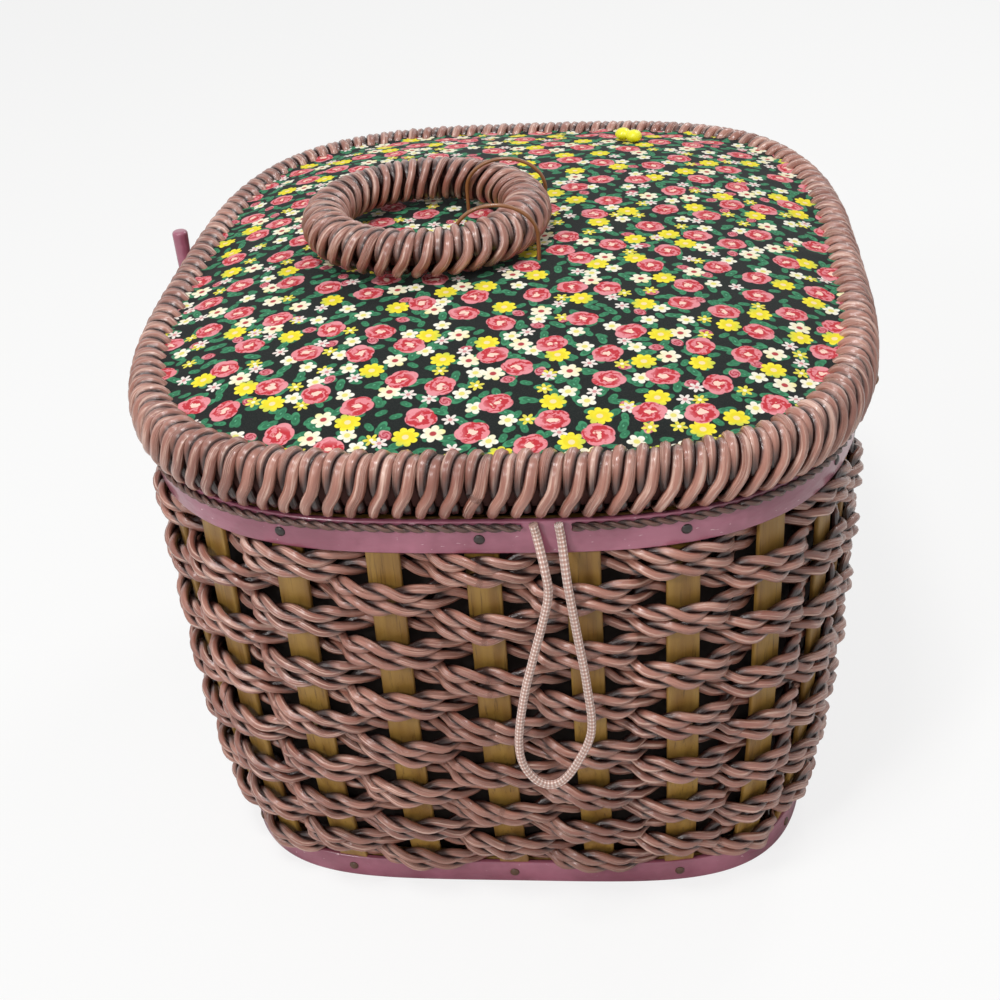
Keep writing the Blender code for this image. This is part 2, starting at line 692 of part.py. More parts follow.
def make_lid_stay(material):
    """Makes the free loop of the stay cord, which comes out of the seam under the rim and goes back in."""
    face = -BODY_LENGTH / 2
    radius = STAY_DIAMETER / 2
    seam = face - radius - SEAT_GAP
    hang = face + BAND_OUTER - ROPE_OUTER - radius - CORD_GAP
    top = RIM_BOTTOM - SEAT_GAP
    route = [
        (0.0139, seam, top),
        (0.0147, seam, 0.1440),
        (0.0165, hang, 0.1360),
        (0.0170, hang, 0.1287),
        (0.0150, hang, 0.1192),
        (0.0121, hang, 0.1079),
        (0.0093, hang, 0.0961),
        (0.0072, hang, 0.0823),
        (0.0075, hang, 0.0734),
        (0.0104, hang, 0.0673),
        (0.0144, hang, 0.0648),
        (0.0187, hang, 0.0667),
        (0.0230, hang, 0.0737),
        (0.0267, hang, 0.0843),
        (0.0259, hang, 0.0997),
        (0.0239, hang, 0.1161),
        (0.0220, hang, 0.1318),
        (0.0208, seam, 0.1430),
        (0.0202, seam, top),
    ]
    tube("lid_stay", smooth_route(route, STAY_POINT_STEP), radius, material, resolution=2)


def make_pin(material):
    """Makes the two-lobed yellow pin head that lies on the pad."""
    reach = PIN_LOBE_SPREAD + PIN_LOBE_RADIUS
    pin_x, pin_y = PIN_X_SHARE * LID_WIDTH / 2, PIN_Y_SHARE * LID_LENGTH / 2
    level = pad_height(pin_x, pin_y) + PIN_LOBE_RADIUS * PIN_HEIGHT_SHARE + SEAT_GAP
    outlines = []
    for i in range(2 * ARC_STEPS + 1):
        along = -reach * math.cos(math.pi * (i + 0.5) / (2 * ARC_STEPS + 1))
        beyond = abs(along) - PIN_LOBE_SPREAD
        radius = math.sqrt(PIN_LOBE_RADIUS ** 2 - beyond ** 2)
        outline = []
        for j in range(ARC_STEPS):
            angle = 2 * math.pi * j / ARC_STEPS
            z = level + radius * PIN_HEIGHT_SHARE * math.sin(angle)
            outline.append((pin_x + along, pin_y + radius * math.cos(angle), z))
        outlines.append(outline)
    stacked_solid("yellow_pin", outlines, material)


def main():
    """Builds every piece."""
    clear_scene()
    rose = make_material("twisted_strand", DUSTY_ROSE, 0.35)
    mauve = make_material("lacquered_band", MAUVE_LACQUER, 0.3)
    wood = make_material("stake_wood", STAKE_WOOD, 0.6)
    ply = make_material("plywood", PLYWOOD, 0.7)
    lining = make_material("lining_fabric", LINING_FABRIC, 0.8)
    fabric = make_material("printed_cotton", PRINT_GROUND, 0.85)
    wire = make_material("coated_wire", COATED_WIRE, 0.35)
    braid = make_material("braided_cord", BRAID, 0.7)
    yellow = make_material("yellow_plastic", PIN_YELLOW, 0.35)
    make_body(rose, mauve, wood, ply, lining)
    make_lid(rose, ply, lining, fabric, wire)
    make_hinges(wire)
    make_peg(mauve, wire)
    make_lid_stay(braid)
    make_pin(yellow)


main()
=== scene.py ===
"""Sewing basket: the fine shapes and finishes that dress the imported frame.

Metres, +Z up. The origin is the centre of the base's underside, and the long side runs along Y.
Each sub-assembly is a class with its sizes as fields. Ropes, flat strips and nail heads come from three
node trees that are built here and applied, so that every finished piece is a plain mesh.
"""

from __future__ import annotations

import json
import logging
import math
from collections.abc import Sequence
from dataclasses import dataclass, field
from enum import Enum
from functools import partial
from typing import Any

import bpy
import numpy as np
from mathutils import Matrix, Vector

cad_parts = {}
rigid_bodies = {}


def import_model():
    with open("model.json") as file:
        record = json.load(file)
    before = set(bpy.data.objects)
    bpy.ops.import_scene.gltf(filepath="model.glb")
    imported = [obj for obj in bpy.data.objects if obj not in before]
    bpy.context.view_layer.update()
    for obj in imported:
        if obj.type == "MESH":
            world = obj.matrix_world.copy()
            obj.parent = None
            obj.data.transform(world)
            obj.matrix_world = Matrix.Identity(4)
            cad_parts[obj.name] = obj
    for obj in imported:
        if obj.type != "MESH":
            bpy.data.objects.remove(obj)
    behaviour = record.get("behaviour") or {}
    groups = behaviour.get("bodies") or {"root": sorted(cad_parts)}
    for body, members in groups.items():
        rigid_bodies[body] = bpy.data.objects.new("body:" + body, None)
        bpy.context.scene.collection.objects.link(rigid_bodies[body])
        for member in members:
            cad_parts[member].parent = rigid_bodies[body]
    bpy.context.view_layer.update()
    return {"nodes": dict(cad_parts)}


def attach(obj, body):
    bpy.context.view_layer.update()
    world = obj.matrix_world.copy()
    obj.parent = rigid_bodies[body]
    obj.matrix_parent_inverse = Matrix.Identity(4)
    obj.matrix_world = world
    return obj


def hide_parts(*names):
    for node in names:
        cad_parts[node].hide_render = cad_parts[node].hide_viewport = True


LOG = logging.getLogger("sewing_basket")
FULL_TURN = 2 * math.pi
SEED = 41
SHARP_ANGLE = math.radians(40)
STRIP_COLUMNS = 288

MATH = "ShaderNodeMath"
VECTOR = "ShaderNodeVectorMath"
ROTATE = "ShaderNodeVectorRotate"
NOISE = "ShaderNodeTexNoise"
ATTRIBUTE = "ShaderNodeAttribute"
PLACE = "ShaderNodeTexCoord"
RAMP = "ShaderNodeMapRange"
SMOOTH = {"interpolation_type": "SMOOTHSTEP"}
MIX = "ShaderNodeMix"
COLOURS = {"data_type": "RGBA", "out": 2}
POSITION = "GeometryNodeInputPosition"
NAMED = "GeometryNodeInputNamedAttribute"
STORE = "GeometryNodeStoreNamedAttribute"
WHITE = (1.0, 1.0, 1.0, 1.0)

Array = np.ndarray


class Body(Enum):
    """The bodies that pieces ride on."""

    BASKET = "basket"
    LID = "lid"
    WIRES = "handle_wires"
    HANDLE = "handle"
    PEG = "peg"


class Slot(Enum):
    """The record's material slots that pieces name."""

    STRAND = "twisted_strand"
    LACQUER = "lacquered_band"
    STAKE = "stake_wood"
    LINING = "lining_fabric"
    PRINT = "printed_cotton"
    WIRE = "coated_wire"
    BRAID = "braided_cord"
    YELLOW = "yellow_plastic"


@dataclass(frozen=True)
class BasketSizes:
    """The driving sizes that the sub-assemblies share, the same as the frame's."""

    body_width: float = 0.2085
    body_length: float = 0.2545
    body_height: float = 0.1480
    base_width: float = 0.184
    base_length: float = 0.2065
    lid_width: float = 0.2165
    lid_length: float = 0.261
    plan_power: float = 3.25
    base_plan_power: float = 4.6
    wall_curve_power: float = 2.8
    corner_draw_share: float = 0.20
    stake_count: int = 30
    stake_width: float = 0.009
    stake_thickness: float = 0.0016
    band_thickness: float = 0.0018
    band_height: float = 0.0098
    base_band_height: float = 0.0080
    rim_width: float = 0.0118
    rim_height: float = 0.0180
    seat_gap: float = 0.0003
    pivot_x: float = -0.00181

    @property
    def band_outer(self) -> float:
        """How far the bands' outer face stands out from the stake line."""
        return self.stake_thickness / 2 + self.seat_gap + self.band_thickness

    @property
    def rim_bottom(self) -> float:
        """The height of the rim's underside."""
        return self.body_height + self.seat_gap

    @property
    def rim_top(self) -> float:
        """The height of the rim's top."""
        return self.rim_bottom + self.rim_height


SIZES = BasketSizes()


class Plan:
    """A rounded rectangle seen from above, walked by shares of its length from the middle of the -Y end."""

    SAMPLES = 1440

    def __init__(self, half_x: float, half_y: float, power: float) -> None:
        """Samples the outline.

        Args:
            half_x: half the width along X.
            half_y: half the length along Y.
            power: the power of the rounded rectangle; a higher one has tighter corners.
        """
        angles = np.linspace(-math.pi / 2, 3 * math.pi / 2, self.SAMPLES + 1)
        cosines, sines = np.cos(angles), np.sin(angles)
        radii = (np.abs(cosines / half_x) ** power + np.abs(sines / half_y) ** power) ** (-1 / power)
        self.points = np.column_stack([radii * cosines, radii * sines])
        slopes = np.column_stack([
            np.sign(cosines) * np.abs(self.points[:, 0]) ** (power - 1) / half_x ** power,
            np.sign(sines) * np.abs(self.points[:, 1]) ** (power - 1) / half_y ** power])
        self.normals = slopes / np.linalg.norm(slopes, axis=1)[:, None]
        self.walked = walked_lengths(self.points)
        self.length = float(self.walked[-1])

    def at(self, shares: Array) -> tuple[Array, Array]:
        """Reads the outline at shares of the way round.

        Args:
            shares: where to read, as shares of the outline's length.

        Returns:
            The points and the unit outward normals, both in the plane.
        """
        places = np.mod(shares, 1.0) * self.length
        points = read_columns(places, self.walked, self.points)
        normals = read_columns(places, self.walked, self.normals)
        return points, normals / np.linalg.norm(normals, axis=1)[:, None]


@dataclass
class Path:
    """A line that a node tree sweeps: at each point an outward direction, and how wide and thick a rope lies."""

    points: Array
    outward: Array
    closed: bool
    spread: Array | float = 1.0
    girth: Array | float = 1.0


class Wall:
    """The line through the middle of the stakes, which draws in towards the base."""

    def fullness(self, z: float) -> float:
        """Gives how far the wall has opened at a height: 0 at the base, 1 at the top."""
        height_share = min(max(z / SIZES.body_height, 0.0), 1.0)
        return 1 - (1 - height_share) ** SIZES.wall_curve_power

    def plan(self, z: float) -> Plan:
        """Gives the wall's plan at a height.

        Args:
            z: the height.

        Returns:
            The outline through the middle of the stakes there.
        """
        fullness = self.fullness(z)
        half_x = (SIZES.base_width + (SIZES.body_width - SIZES.base_width) * fullness) / 2
        half_y = (SIZES.base_length + (SIZES.body_length - SIZES.base_length) * fullness) / 2
        power = SIZES.base_plan_power + (SIZES.plan_power - SIZES.base_plan_power) * fullness
        return Plan(half_x - SIZES.band_outer, half_y - SIZES.band_outer, power)

    def line(self, shares: Array, z: float, offsets: Array | float, lifts: Array | float = 0.0) -> Path:
        """Gives a closed line round the wall. Near the base its shares draw together towards the corners.

        Args:
            shares: where the points lie round the wall.
            z: the line's height.
            offsets: how far each point stands out from the stake line.
            lifts: how far each point lies above z.

        Returns:
            The closed path, whose outward direction is the wall's.
        """
        waves = 4 * FULL_TURN
        draw = SIZES.corner_draw_share * (1 - self.fullness(z)) * np.sin(waves * shares) / waves
        points, normals = self.plan(z).at(shares + draw)
        flat = points + normals * np.broadcast_to(offsets, len(shares))[:, None]
        heights = z + np.broadcast_to(lifts, len(shares))
        outward = np.column_stack([normals, np.zeros(len(shares))])
        return Path(np.column_stack([flat, heights]), outward, True)

    def face(self, z: float, y: float) -> float:
        """Finds the bands' outer face.

        Args:
            z: the height.
            y: the place along Y.

        Returns:
            Its half width along X there.
        """
        plan = self.plan(z)
        outer = plan.points + plan.normals * SIZES.band_outer
        right = outer[outer[:, 0] > SIZES.body_width / 4]
        return float(np.interp(y, right[:, 1], right[:, 0]))


def walked_lengths(points: Array) -> Array:
    """Gives how far along a line each of its points lies."""
    return np.concatenate([[0.0], np.cumsum(np.linalg.norm(np.diff(points, axis=0), axis=1))])


def read_columns(places: Array, walked: Array, values: Array) -> Array:
    """Reads each column of values at places along a line."""
    return np.column_stack([np.interp(places, walked, column) for column in values.T])


def even_shares(count: int) -> Array:
    """Gives evenly spaced shares of a closed line."""
    return np.arange(count) / count


WALL = Wall()
LID_PLAN = Plan(SIZES.lid_width / 2, SIZES.lid_length / 2, SIZES.plan_power)


def linear(hex_code: str) -> tuple[float, float, float, float]:
    """Turns an sRGB hex code into the linear colour that a shader takes.

    Args:
        hex_code: six hex digits.

    Returns:
        The linear red, green and blue, and an alpha of 1.
    """
    channels = [int(hex_code[i:i + 2], 16) / 255 for i in (0, 2, 4)]
    values = [c / 12.92 if c <= 0.04045 else ((c + 0.055) / 1.055) ** 2.4 for c in channels]
    return (*values, 1.0)


def fill(tree: bpy.types.NodeTree, socket: bpy.types.NodeSocket, value: Any) -> None:
    """Links another socket into a socket, or sets its value.

    Args:
        tree: the tree that both belong to.
        socket: the input to fill.
        value: an output to link, or a plain value.
    """
    if isinstance(value, bpy.types.NodeSocket):
        tree.links.new(value, socket)
    else:
        socket.default_value = value


def add_node(tree: bpy.types.NodeTree, kind: str, *values: Any, out: int | str | None = 0,
             named: dict | None = None, **settings: Any) -> Any:
    """Adds one node with its settings, values and links.

    Args:
        tree: the tree that gets the node.
        kind: the node's type name.
        *values: a value or a socket for each input, in their order.
        out: the output to give, by index or name, or None for all of them.
        named: values or sockets for inputs by name or index.
        **settings: the node's own properties.

    Returns:
        The output, or all of the outputs.
    """
    node = tree.nodes.new(kind)
    for name, value in settings.items():
        setattr(node, name, value)
    for key, value in {**dict(enumerate(values)), **(named or {})}.items():
        fill(tree, node.inputs[key], value)
    return node.outputs if out is None else node.outputs[out]


class PathTree:
    """A geometry tree that turns paths into a mesh, with named inputs for its sizes."""

    LENGTHS: tuple[str, ...] = ()
    COUNTS: tuple[str, ...] = ()

    def __init__(self, name: str) -> None:
        """Makes the tree's sockets and asks the subclass for its nodes.

        Args:
            name: the tree's name.
        """
        self.tree = bpy.data.node_groups.new(name, "GeometryNodeTree")
        new_socket = self.tree.interface.new_socket
        for direction in ("INPUT", "OUTPUT"):
            new_socket("Geometry", in_out=direction, socket_type="NodeSocketGeometry")
        kinds = {**dict.fromkeys(self.LENGTHS, "Float"), **dict.fromkeys(self.COUNTS, "Int"), "Material": "Material"}
        self.identifiers = {
            label: new_socket(label, in_out="INPUT", socket_type=f"NodeSocket{kind}").identifier
            for label, kind in kinds.items()}
        self.add = partial(add_node, self.tree)
        self.given = self.add("NodeGroupInput", out=None)
        smooth = self.add("GeometryNodeSetShadeSmooth", self.build())
        real = self.add("GeometryNodeRealizeInstances", smooth)
        dressed = self.add("GeometryNodeSetMaterial", real, named={"Material": self.given["Material"]})
        self.add("NodeGroupOutput", dressed, out=None)

    def build(self) -> bpy.types.NodeSocket:
        """Adds the nodes between the paths and the finished mesh."""
        raise NotImplementedError

    def make(self, name: str, paths: Sequence[Path], material: bpy.types.Material, **sizes: Any) -> bpy.types.Object:
        """Runs the tree on paths and keeps the result as a plain mesh.

        Args:
            name: the piece's name.
            paths: the lines that the tree follows.
            material: the finish.
            **sizes: a value for each named input, with _ for a space.

        Returns:
            The finished piece.
        """
        piece = link(name, path_mesh(name, paths))
        modifier = piece.modifiers.new("paths", "NODES")
        modifier.node_group = self.tree
        for label, value in {**sizes, "Material": material}.items():
            modifier[self.identifiers[label.replace("_", " ")]] = value
        graph = bpy.context.evaluated_depsgraph_get()
        graph.update()
        plain = bpy.data.meshes.new_from_object(
            piece.evaluated_get(graph), preserve_all_data_layers=True, depsgraph=graph)
        piece.modifiers.remove(modifier)
        piece.data = plain
        plain.name = name
        return piece


class RopeTree(PathTree):
    """Lays strands round each path, as a rope maker twists them, and keeps how deep each point lies."""

    LENGTHS = ("Lay Out", "Lay Side", "Strand Radius", "Twists", "Phase", "Ease", "Facing", "Wander")
    COUNTS = ("Strands", "Sides")
    WANDER_SCALE = 90.0

    def strand_offset(self, index: bpy.types.NodeSocket, along: bpy.types.NodeSocket,
                      outward: bpy.types.NodeSocket) -> bpy.types.NodeSocket:
        """Works out how far each point of a strand lies from the rope's core.

        Args:
            index: the strand's number.
            along: how far along the path the point lies, as a share.
            outward: the direction away from what the rope lies on.

        Returns:
            The offset, with the strand's own unevenness.
        """
        add, given = self.add, self.given
        turns = add(MATH, along, given["Twists"], operation="MULTIPLY")
        strand_share = add(MATH, index, given["Strands"], operation="DIVIDE")
        first = add(MATH, strand_share, given["Phase"], operation="ADD")
        angle = add(MATH, add(MATH, turns, first, operation="ADD"), FULL_TURN, operation="MULTIPLY")
        tangent = add("GeometryNodeInputTangent")
        side = add(VECTOR, add(VECTOR, tangent, outward, operation="CROSS_PRODUCT"), operation="NORMALIZE")
        reach_out = add(MATH, add(MATH, angle, operation="COSINE"), given["Lay Out"], operation="MULTIPLY")
        sway = add(MATH, angle, operation="SINE")
        eased = add(MATH, add(MATH, sway, sway, operation="MULTIPLY"), given["Ease"], operation="ADD")
        most = add(MATH, given["Ease"], 1.0, operation="ADD")
        lift = add(MATH, add(MATH, most, eased, operation="DIVIDE"), operation="SQRT")
        side_most = add(MATH, given["Lay Side"], add(NAMED, "spread", data_type="FLOAT"), operation="MULTIPLY")
        lifted = add(MATH, sway, lift, operation="MULTIPLY")
        reach_side = add(MATH, lifted, side_most, operation="MULTIPLY")
        laid = add(VECTOR,
                   add(VECTOR, outward, named={"Scale": reach_out}, operation="SCALE"),
                   add(VECTOR, side, named={"Scale": reach_side}, operation="SCALE"), operation="ADD")
        ripple = add(NOISE, add(POSITION), index, self.WANDER_SCALE, out="Color", noise_dimensions="4D")
        centred = add(VECTOR, ripple, (0.5, 0.5, 0.5), operation="SUBTRACT")
        stray = add(VECTOR, centred, named={"Scale": given["Wander"]}, operation="SCALE")
        return add(VECTOR, laid, stray, operation="ADD")

    def crown(self, outward: bpy.types.NodeSocket) -> bpy.types.NodeSocket:
        """Works out how far a point stands out of the rope: near 0 in its core and 1 on its crown. The strand finish
        paints shade where this share is low.

        Args:
            outward: the direction away from what the rope lies on, which counts by the Facing input.

        Returns:
            The share.
        """
        add, given = self.add, self.given
        reach = add(VECTOR, add(POSITION), add(NAMED, "core", data_type="FLOAT_VECTOR"), operation="SUBTRACT")
        round_core = add(VECTOR, reach, out="Value", operation="LENGTH")
        ahead = add(VECTOR, reach, outward, out="Value", operation="DOT_PRODUCT")
        turn = add(MATH, ahead, round_core, operation="SUBTRACT")
        turned = add(MATH, turn, given["Facing"], round_core, operation="MULTIPLY_ADD")
        widest = add(MATH, given["Lay Out"], given["Strand Radius"], operation="ADD")
        return add(MATH, turned, widest, operation="DIVIDE")

    def build(self) -> bpy.types.NodeSocket:
        """Moves a copy of the path for each strand round it, and sweeps a circle along the copies.

        Returns:
            The strands, whose points carry along, strand, around and crown for the finish.
        """
        add, given = self.add, self.given
        number, vector = {"data_type": "FLOAT", "domain": "POINT"}, {"data_type": "FLOAT_VECTOR", "domain": "POINT"}
        curve = add("GeometryNodeMeshToCurve", given["Geometry"])
        cored = add(STORE, curve, named={"Name": "core", "Value": add(POSITION)}, **vector)
        copies = add("GeometryNodeDuplicateElements", named={"Geometry": cored, "Amount": given["Strands"]},
                     out=None, domain="SPLINE")
        index = copies["Duplicate Index"]
        along = add("GeometryNodeSplineParameter", out=None)
        outward = add(VECTOR, add(NAMED, "outward", data_type="FLOAT_VECTOR"), operation="NORMALIZE")
        offset = self.strand_offset(index, along["Factor"], outward)
        moved = add("GeometryNodeSetPosition", named={"Geometry": copies["Geometry"], "Offset": offset})
        measured = add(STORE, moved, named={"Name": "along", "Value": along["Length"]}, **number)
        numbered = add(STORE, measured, named={"Name": "strand", "Value": index}, **number)
        circle = add("GeometryNodeCurvePrimitiveCircle",
                     named={"Resolution": given["Sides"], "Radius": given["Strand Radius"]})
        around = add("GeometryNodeSplineParameter", out="Factor")
        profile = add(STORE, circle, named={"Name": "around", "Value": around}, **number)
        girth = add(NAMED, "girth", data_type="FLOAT")
        swept = add("GeometryNodeCurveToMesh",
                    named={"Curve": numbered, "Profile Curve": profile, "Scale": girth, "Fill Caps": True})
        return add(STORE, swept, named={"Name": "crown", "Value": self.crown(outward)}, **number)


class StripTree(PathTree):
    """Sweeps a flat strip with rounded edges along each path, its width across the path's outward direction."""

    LENGTHS = ("Width", "Thickness", "Edge")
    EDGE_STEPS = 3

    def build(self) -> bpy.types.NodeSocket:
        """Turns the curve's normals outwards and sweeps a filleted rectangle.

        Returns:
            The strips.
        """
        add, given = self.add, self.given
        curve = add("GeometryNodeMeshToCurve", given["Geometry"])
        outward = add(NAMED, "outward", data_type="FLOAT_VECTOR")
        turned = add("GeometryNodeSetCurveNormal", named={"Curve": curve, "Normal": outward}, mode="FREE")
        box = add("GeometryNodeCurvePrimitiveQuadrilateral",
                  named={"Width": given["Thickness"], "Height": given["Width"]}, mode="RECTANGLE")
        rounded = add("GeometryNodeFilletCurve",
                      named={"Curve": box, "Radius": given["Edge"], "Count": self.EDGE_STEPS}, mode="POLY")
        return add("GeometryNodeCurveToMesh",
                   named={"Curve": turned, "Profile Curve": rounded, "Fill Caps": True})


class NailTree(PathTree):
    """Sets a low round head on each point, facing outwards."""

    LENGTHS = ("Radius", "Height")
    SEGMENTS = 12
    RINGS = 6

    def build(self) -> bpy.types.NodeSocket:
        """Instances a flattened sphere on the points.

        Returns:
            The heads.
        """
        add, given = self.add, self.given
        ball = add("GeometryNodeMeshUVSphere", self.SEGMENTS, self.RINGS, 1.0)
        outward = add(NAMED, "outward", data_type="FLOAT_VECTOR")
        turn = add("FunctionNodeAlignRotationToVector", named={"Vector": outward}, axis="Z")
        size = add("ShaderNodeCombineXYZ", given["Radius"], given["Radius"], given["Height"])
        return add("GeometryNodeInstanceOnPoints",
                   named={"Points": given["Geometry"], "Instance": ball, "Rotation": turn, "Scale": size})


def path_mesh(name: str, paths: Sequence[Path]) -> bpy.types.Mesh:
    """Writes paths as a mesh of edges whose points carry the outward direction, spread and girth.

    Args:
        name: the mesh's name.
        paths: the lines.

    Returns:
        The mesh.
    """
    mesh = bpy.data.meshes.new(name)
    points, edges = [], []
    for path in paths:
        first, count = len(points), len(path.points)
        points.extend(map(tuple, path.points))
        edges.extend((first + i, first + i + 1) for i in range(count - 1))
        if path.closed:
            edges.append((first + count - 1, first))
    mesh.from_pydata(points, edges, [])
    outward = mesh.attributes.new("outward", "FLOAT_VECTOR", "POINT")
    directions = np.vstack([path.outward for path in paths]).astype(np.float32)
    outward.data.foreach_set("vector", directions.ravel())
    for key in ("spread", "girth"):
        values = [np.broadcast_to(getattr(path, key), len(path.points)) for path in paths]
        write_attribute(mesh, key, np.concatenate(values))
    return mesh


def write_attribute(mesh: bpy.types.Mesh, name: str, values: Array) -> None:
    """Stores a number on each point of a mesh."""
    layer = mesh.attributes.new(name, "FLOAT", "POINT")
    layer.data.foreach_set("value", values.astype(np.float32))


def link(name: str, data: bpy.types.ID) -> bpy.types.Object:
    """Makes an object for a mesh, lamp or camera and puts it in the scene.

    Args:
        name: the object's name.
        data: what it shows.

    Returns:
        The object.
    """
    made = bpy.data.objects.new(name, data)
    bpy.context.scene.collection.objects.link(made)
    return made


def grid_mesh(name: str, rows: Sequence[Array], material: bpy.types.Material,
              capped: bool = True) -> bpy.types.Object:
    """Skins closed rows of points of equal count into one closed body.

    Args:
        name: the piece's name.
        rows: the rows, each an array of points that joins up with its own start.
        material: the finish.
        capped: whether the first and last row are filled; otherwise the last row joins the first.

    Returns:
        The finished piece, smooth shaded.
    """
    size, count = len(rows[0]), len(rows)
    faces = []
    for i in range(count - 1 if capped else count):
        low, high = i * size, (i + 1) % count * size
        faces += [(low + j, low + (j + 1) % size, high + (j + 1) % size, high + j) for j in range(size)]
    if capped:
        faces.append(tuple(reversed(range(size))))
        faces.append(tuple(range((count - 1) * size, count * size)))
    mesh = bpy.data.meshes.new(name)
    mesh.from_pydata([tuple(point) for point in np.vstack(rows)], [], faces)
    mesh.materials.append(material)
    mesh.shade_smooth()
    mesh.set_sharp_from_angle(angle=SHARP_ANGLE)
    return link(name, mesh)


def smooth_line(route: Array, step: float, steps_between: int = 24) -> Array:
    """Reads evenly spaced points from a smooth curve through a route's points.

    Args:
        route: the points to pass.
        step: the spacing to aim for.
        steps_between: how finely the curve is sampled between two points of the route.

    Returns:
        The evenly spaced points.
    """
    padded = np.vstack([2 * route[0] - route[1], route, 2 * route[-1] - route[-2]])
    dense = []
    for i in range(1, len(padded) - 2):
        p0, p1, p2, p3 = padded[i - 1:i + 3]
        for t in np.linspace(0, 1, steps_between, endpoint=False):
            dense.append(0.5 * (2 * p1 + (p2 - p0) * t + (2 * p0 - 5 * p1 + 4 * p2 - p3) * t ** 2
                                + (3 * p1 - p0 - 3 * p2 + p3) * t ** 3))
    dense = np.array([*dense, route[-1]])
    walked = walked_lengths(dense)
    places = np.linspace(0, walked[-1], max(int(round(walked[-1] / step)), 2) + 1)
    return read_columns(places, walked, dense)


def tube_rows(points: Array, radius: float, sides: int) -> list[Array]:
    """Gives the rings of a round tube along points, turned as little as they can be.

    Args:
        points: the tube's centre line.
        radius: the tube's radius.
        sides: how many points a ring has.

    Returns:
        One ring for each point.
    """
    tangents = np.gradient(points, axis=0)
    tangents /= np.linalg.norm(tangents, axis=1)[:, None]
    start = np.cross(tangents[0], (0.0, 0.0, 1.0))
    near_upright = 0.1
    if np.linalg.norm(start) < near_upright:
        start = np.cross(tangents[0], (1.0, 0.0, 0.0))
    normal = start / np.linalg.norm(start)
    angles = FULL_TURN * even_shares(sides)
    rows = []
    for point, tangent in zip(points, tangents):
        normal = normal - tangent * float(normal @ tangent)
        normal /= np.linalg.norm(normal)
        other = np.cross(tangent, normal)
        rows.append(point + radius * (np.cos(angles)[:, None] * normal + np.sin(angles)[:, None] * other))
    return rows


def mount(piece: bpy.types.Object, body: Body, slot: Slot, *nodes: str) -> None:
    """Lets a piece ride on a body, hides the solids that it stands for, and reports it.

    Args:
        piece: the finished piece.
        body: the body that it rides on.
        slot: its material slot, which is not used.
        *nodes: the solids that it stands for.
    """
    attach(piece, body.value)
    if nodes:
        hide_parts(*nodes)
    triangles = sum(len(face.vertices) - 2 for face in piece.data.polygons)
    LOG.info("%s rides on %s, %d triangles", piece.name, body.value, triangles)


@dataclass(frozen=True)
class Finish:
    """A named material that starts as one Principled shader. A field that ends in span is where a ramp runs."""

    name: str
    colour: str
    roughness: float
    relief: float = 0.0003
    relief_strength: float = 0.5
    coat: float = 0.0
    coat_roughness: float = 0.03
    sheen: float = 0.0

    def paint(self, tree: bpy.types.NodeTree) -> dict[str, Any]:
        """Gives a value or a socket for each shader input that the pattern drives, and the relief's Height."""
        raise NotImplementedError

    def build(self) -> bpy.types.Material:
        """Makes the material.

        Returns:
            The material, with the pattern, the gloss and the relief.
        """
        material = bpy.data.materials.new(self.name)
        material.use_nodes = True
        tree = material.node_tree
        shader = tree.nodes["Principled BSDF"]
        painted = self.paint(tree)
        relief = add_node(tree, "ShaderNodeBump", named={
            "Height": painted.pop("Height"), "Distance": self.relief, "Strength": self.relief_strength})
        plain = {"Base Color": linear(self.colour), "Roughness": self.roughness, "Coat Weight": self.coat,
                 "Coat Roughness": self.coat_roughness, "Sheen Weight": self.sheen}
        for given in (plain, painted, {"Normal": relief, "Coat Normal": relief}):
            for key, value in given.items():
                fill(tree, shader.inputs[key], value)
        return material


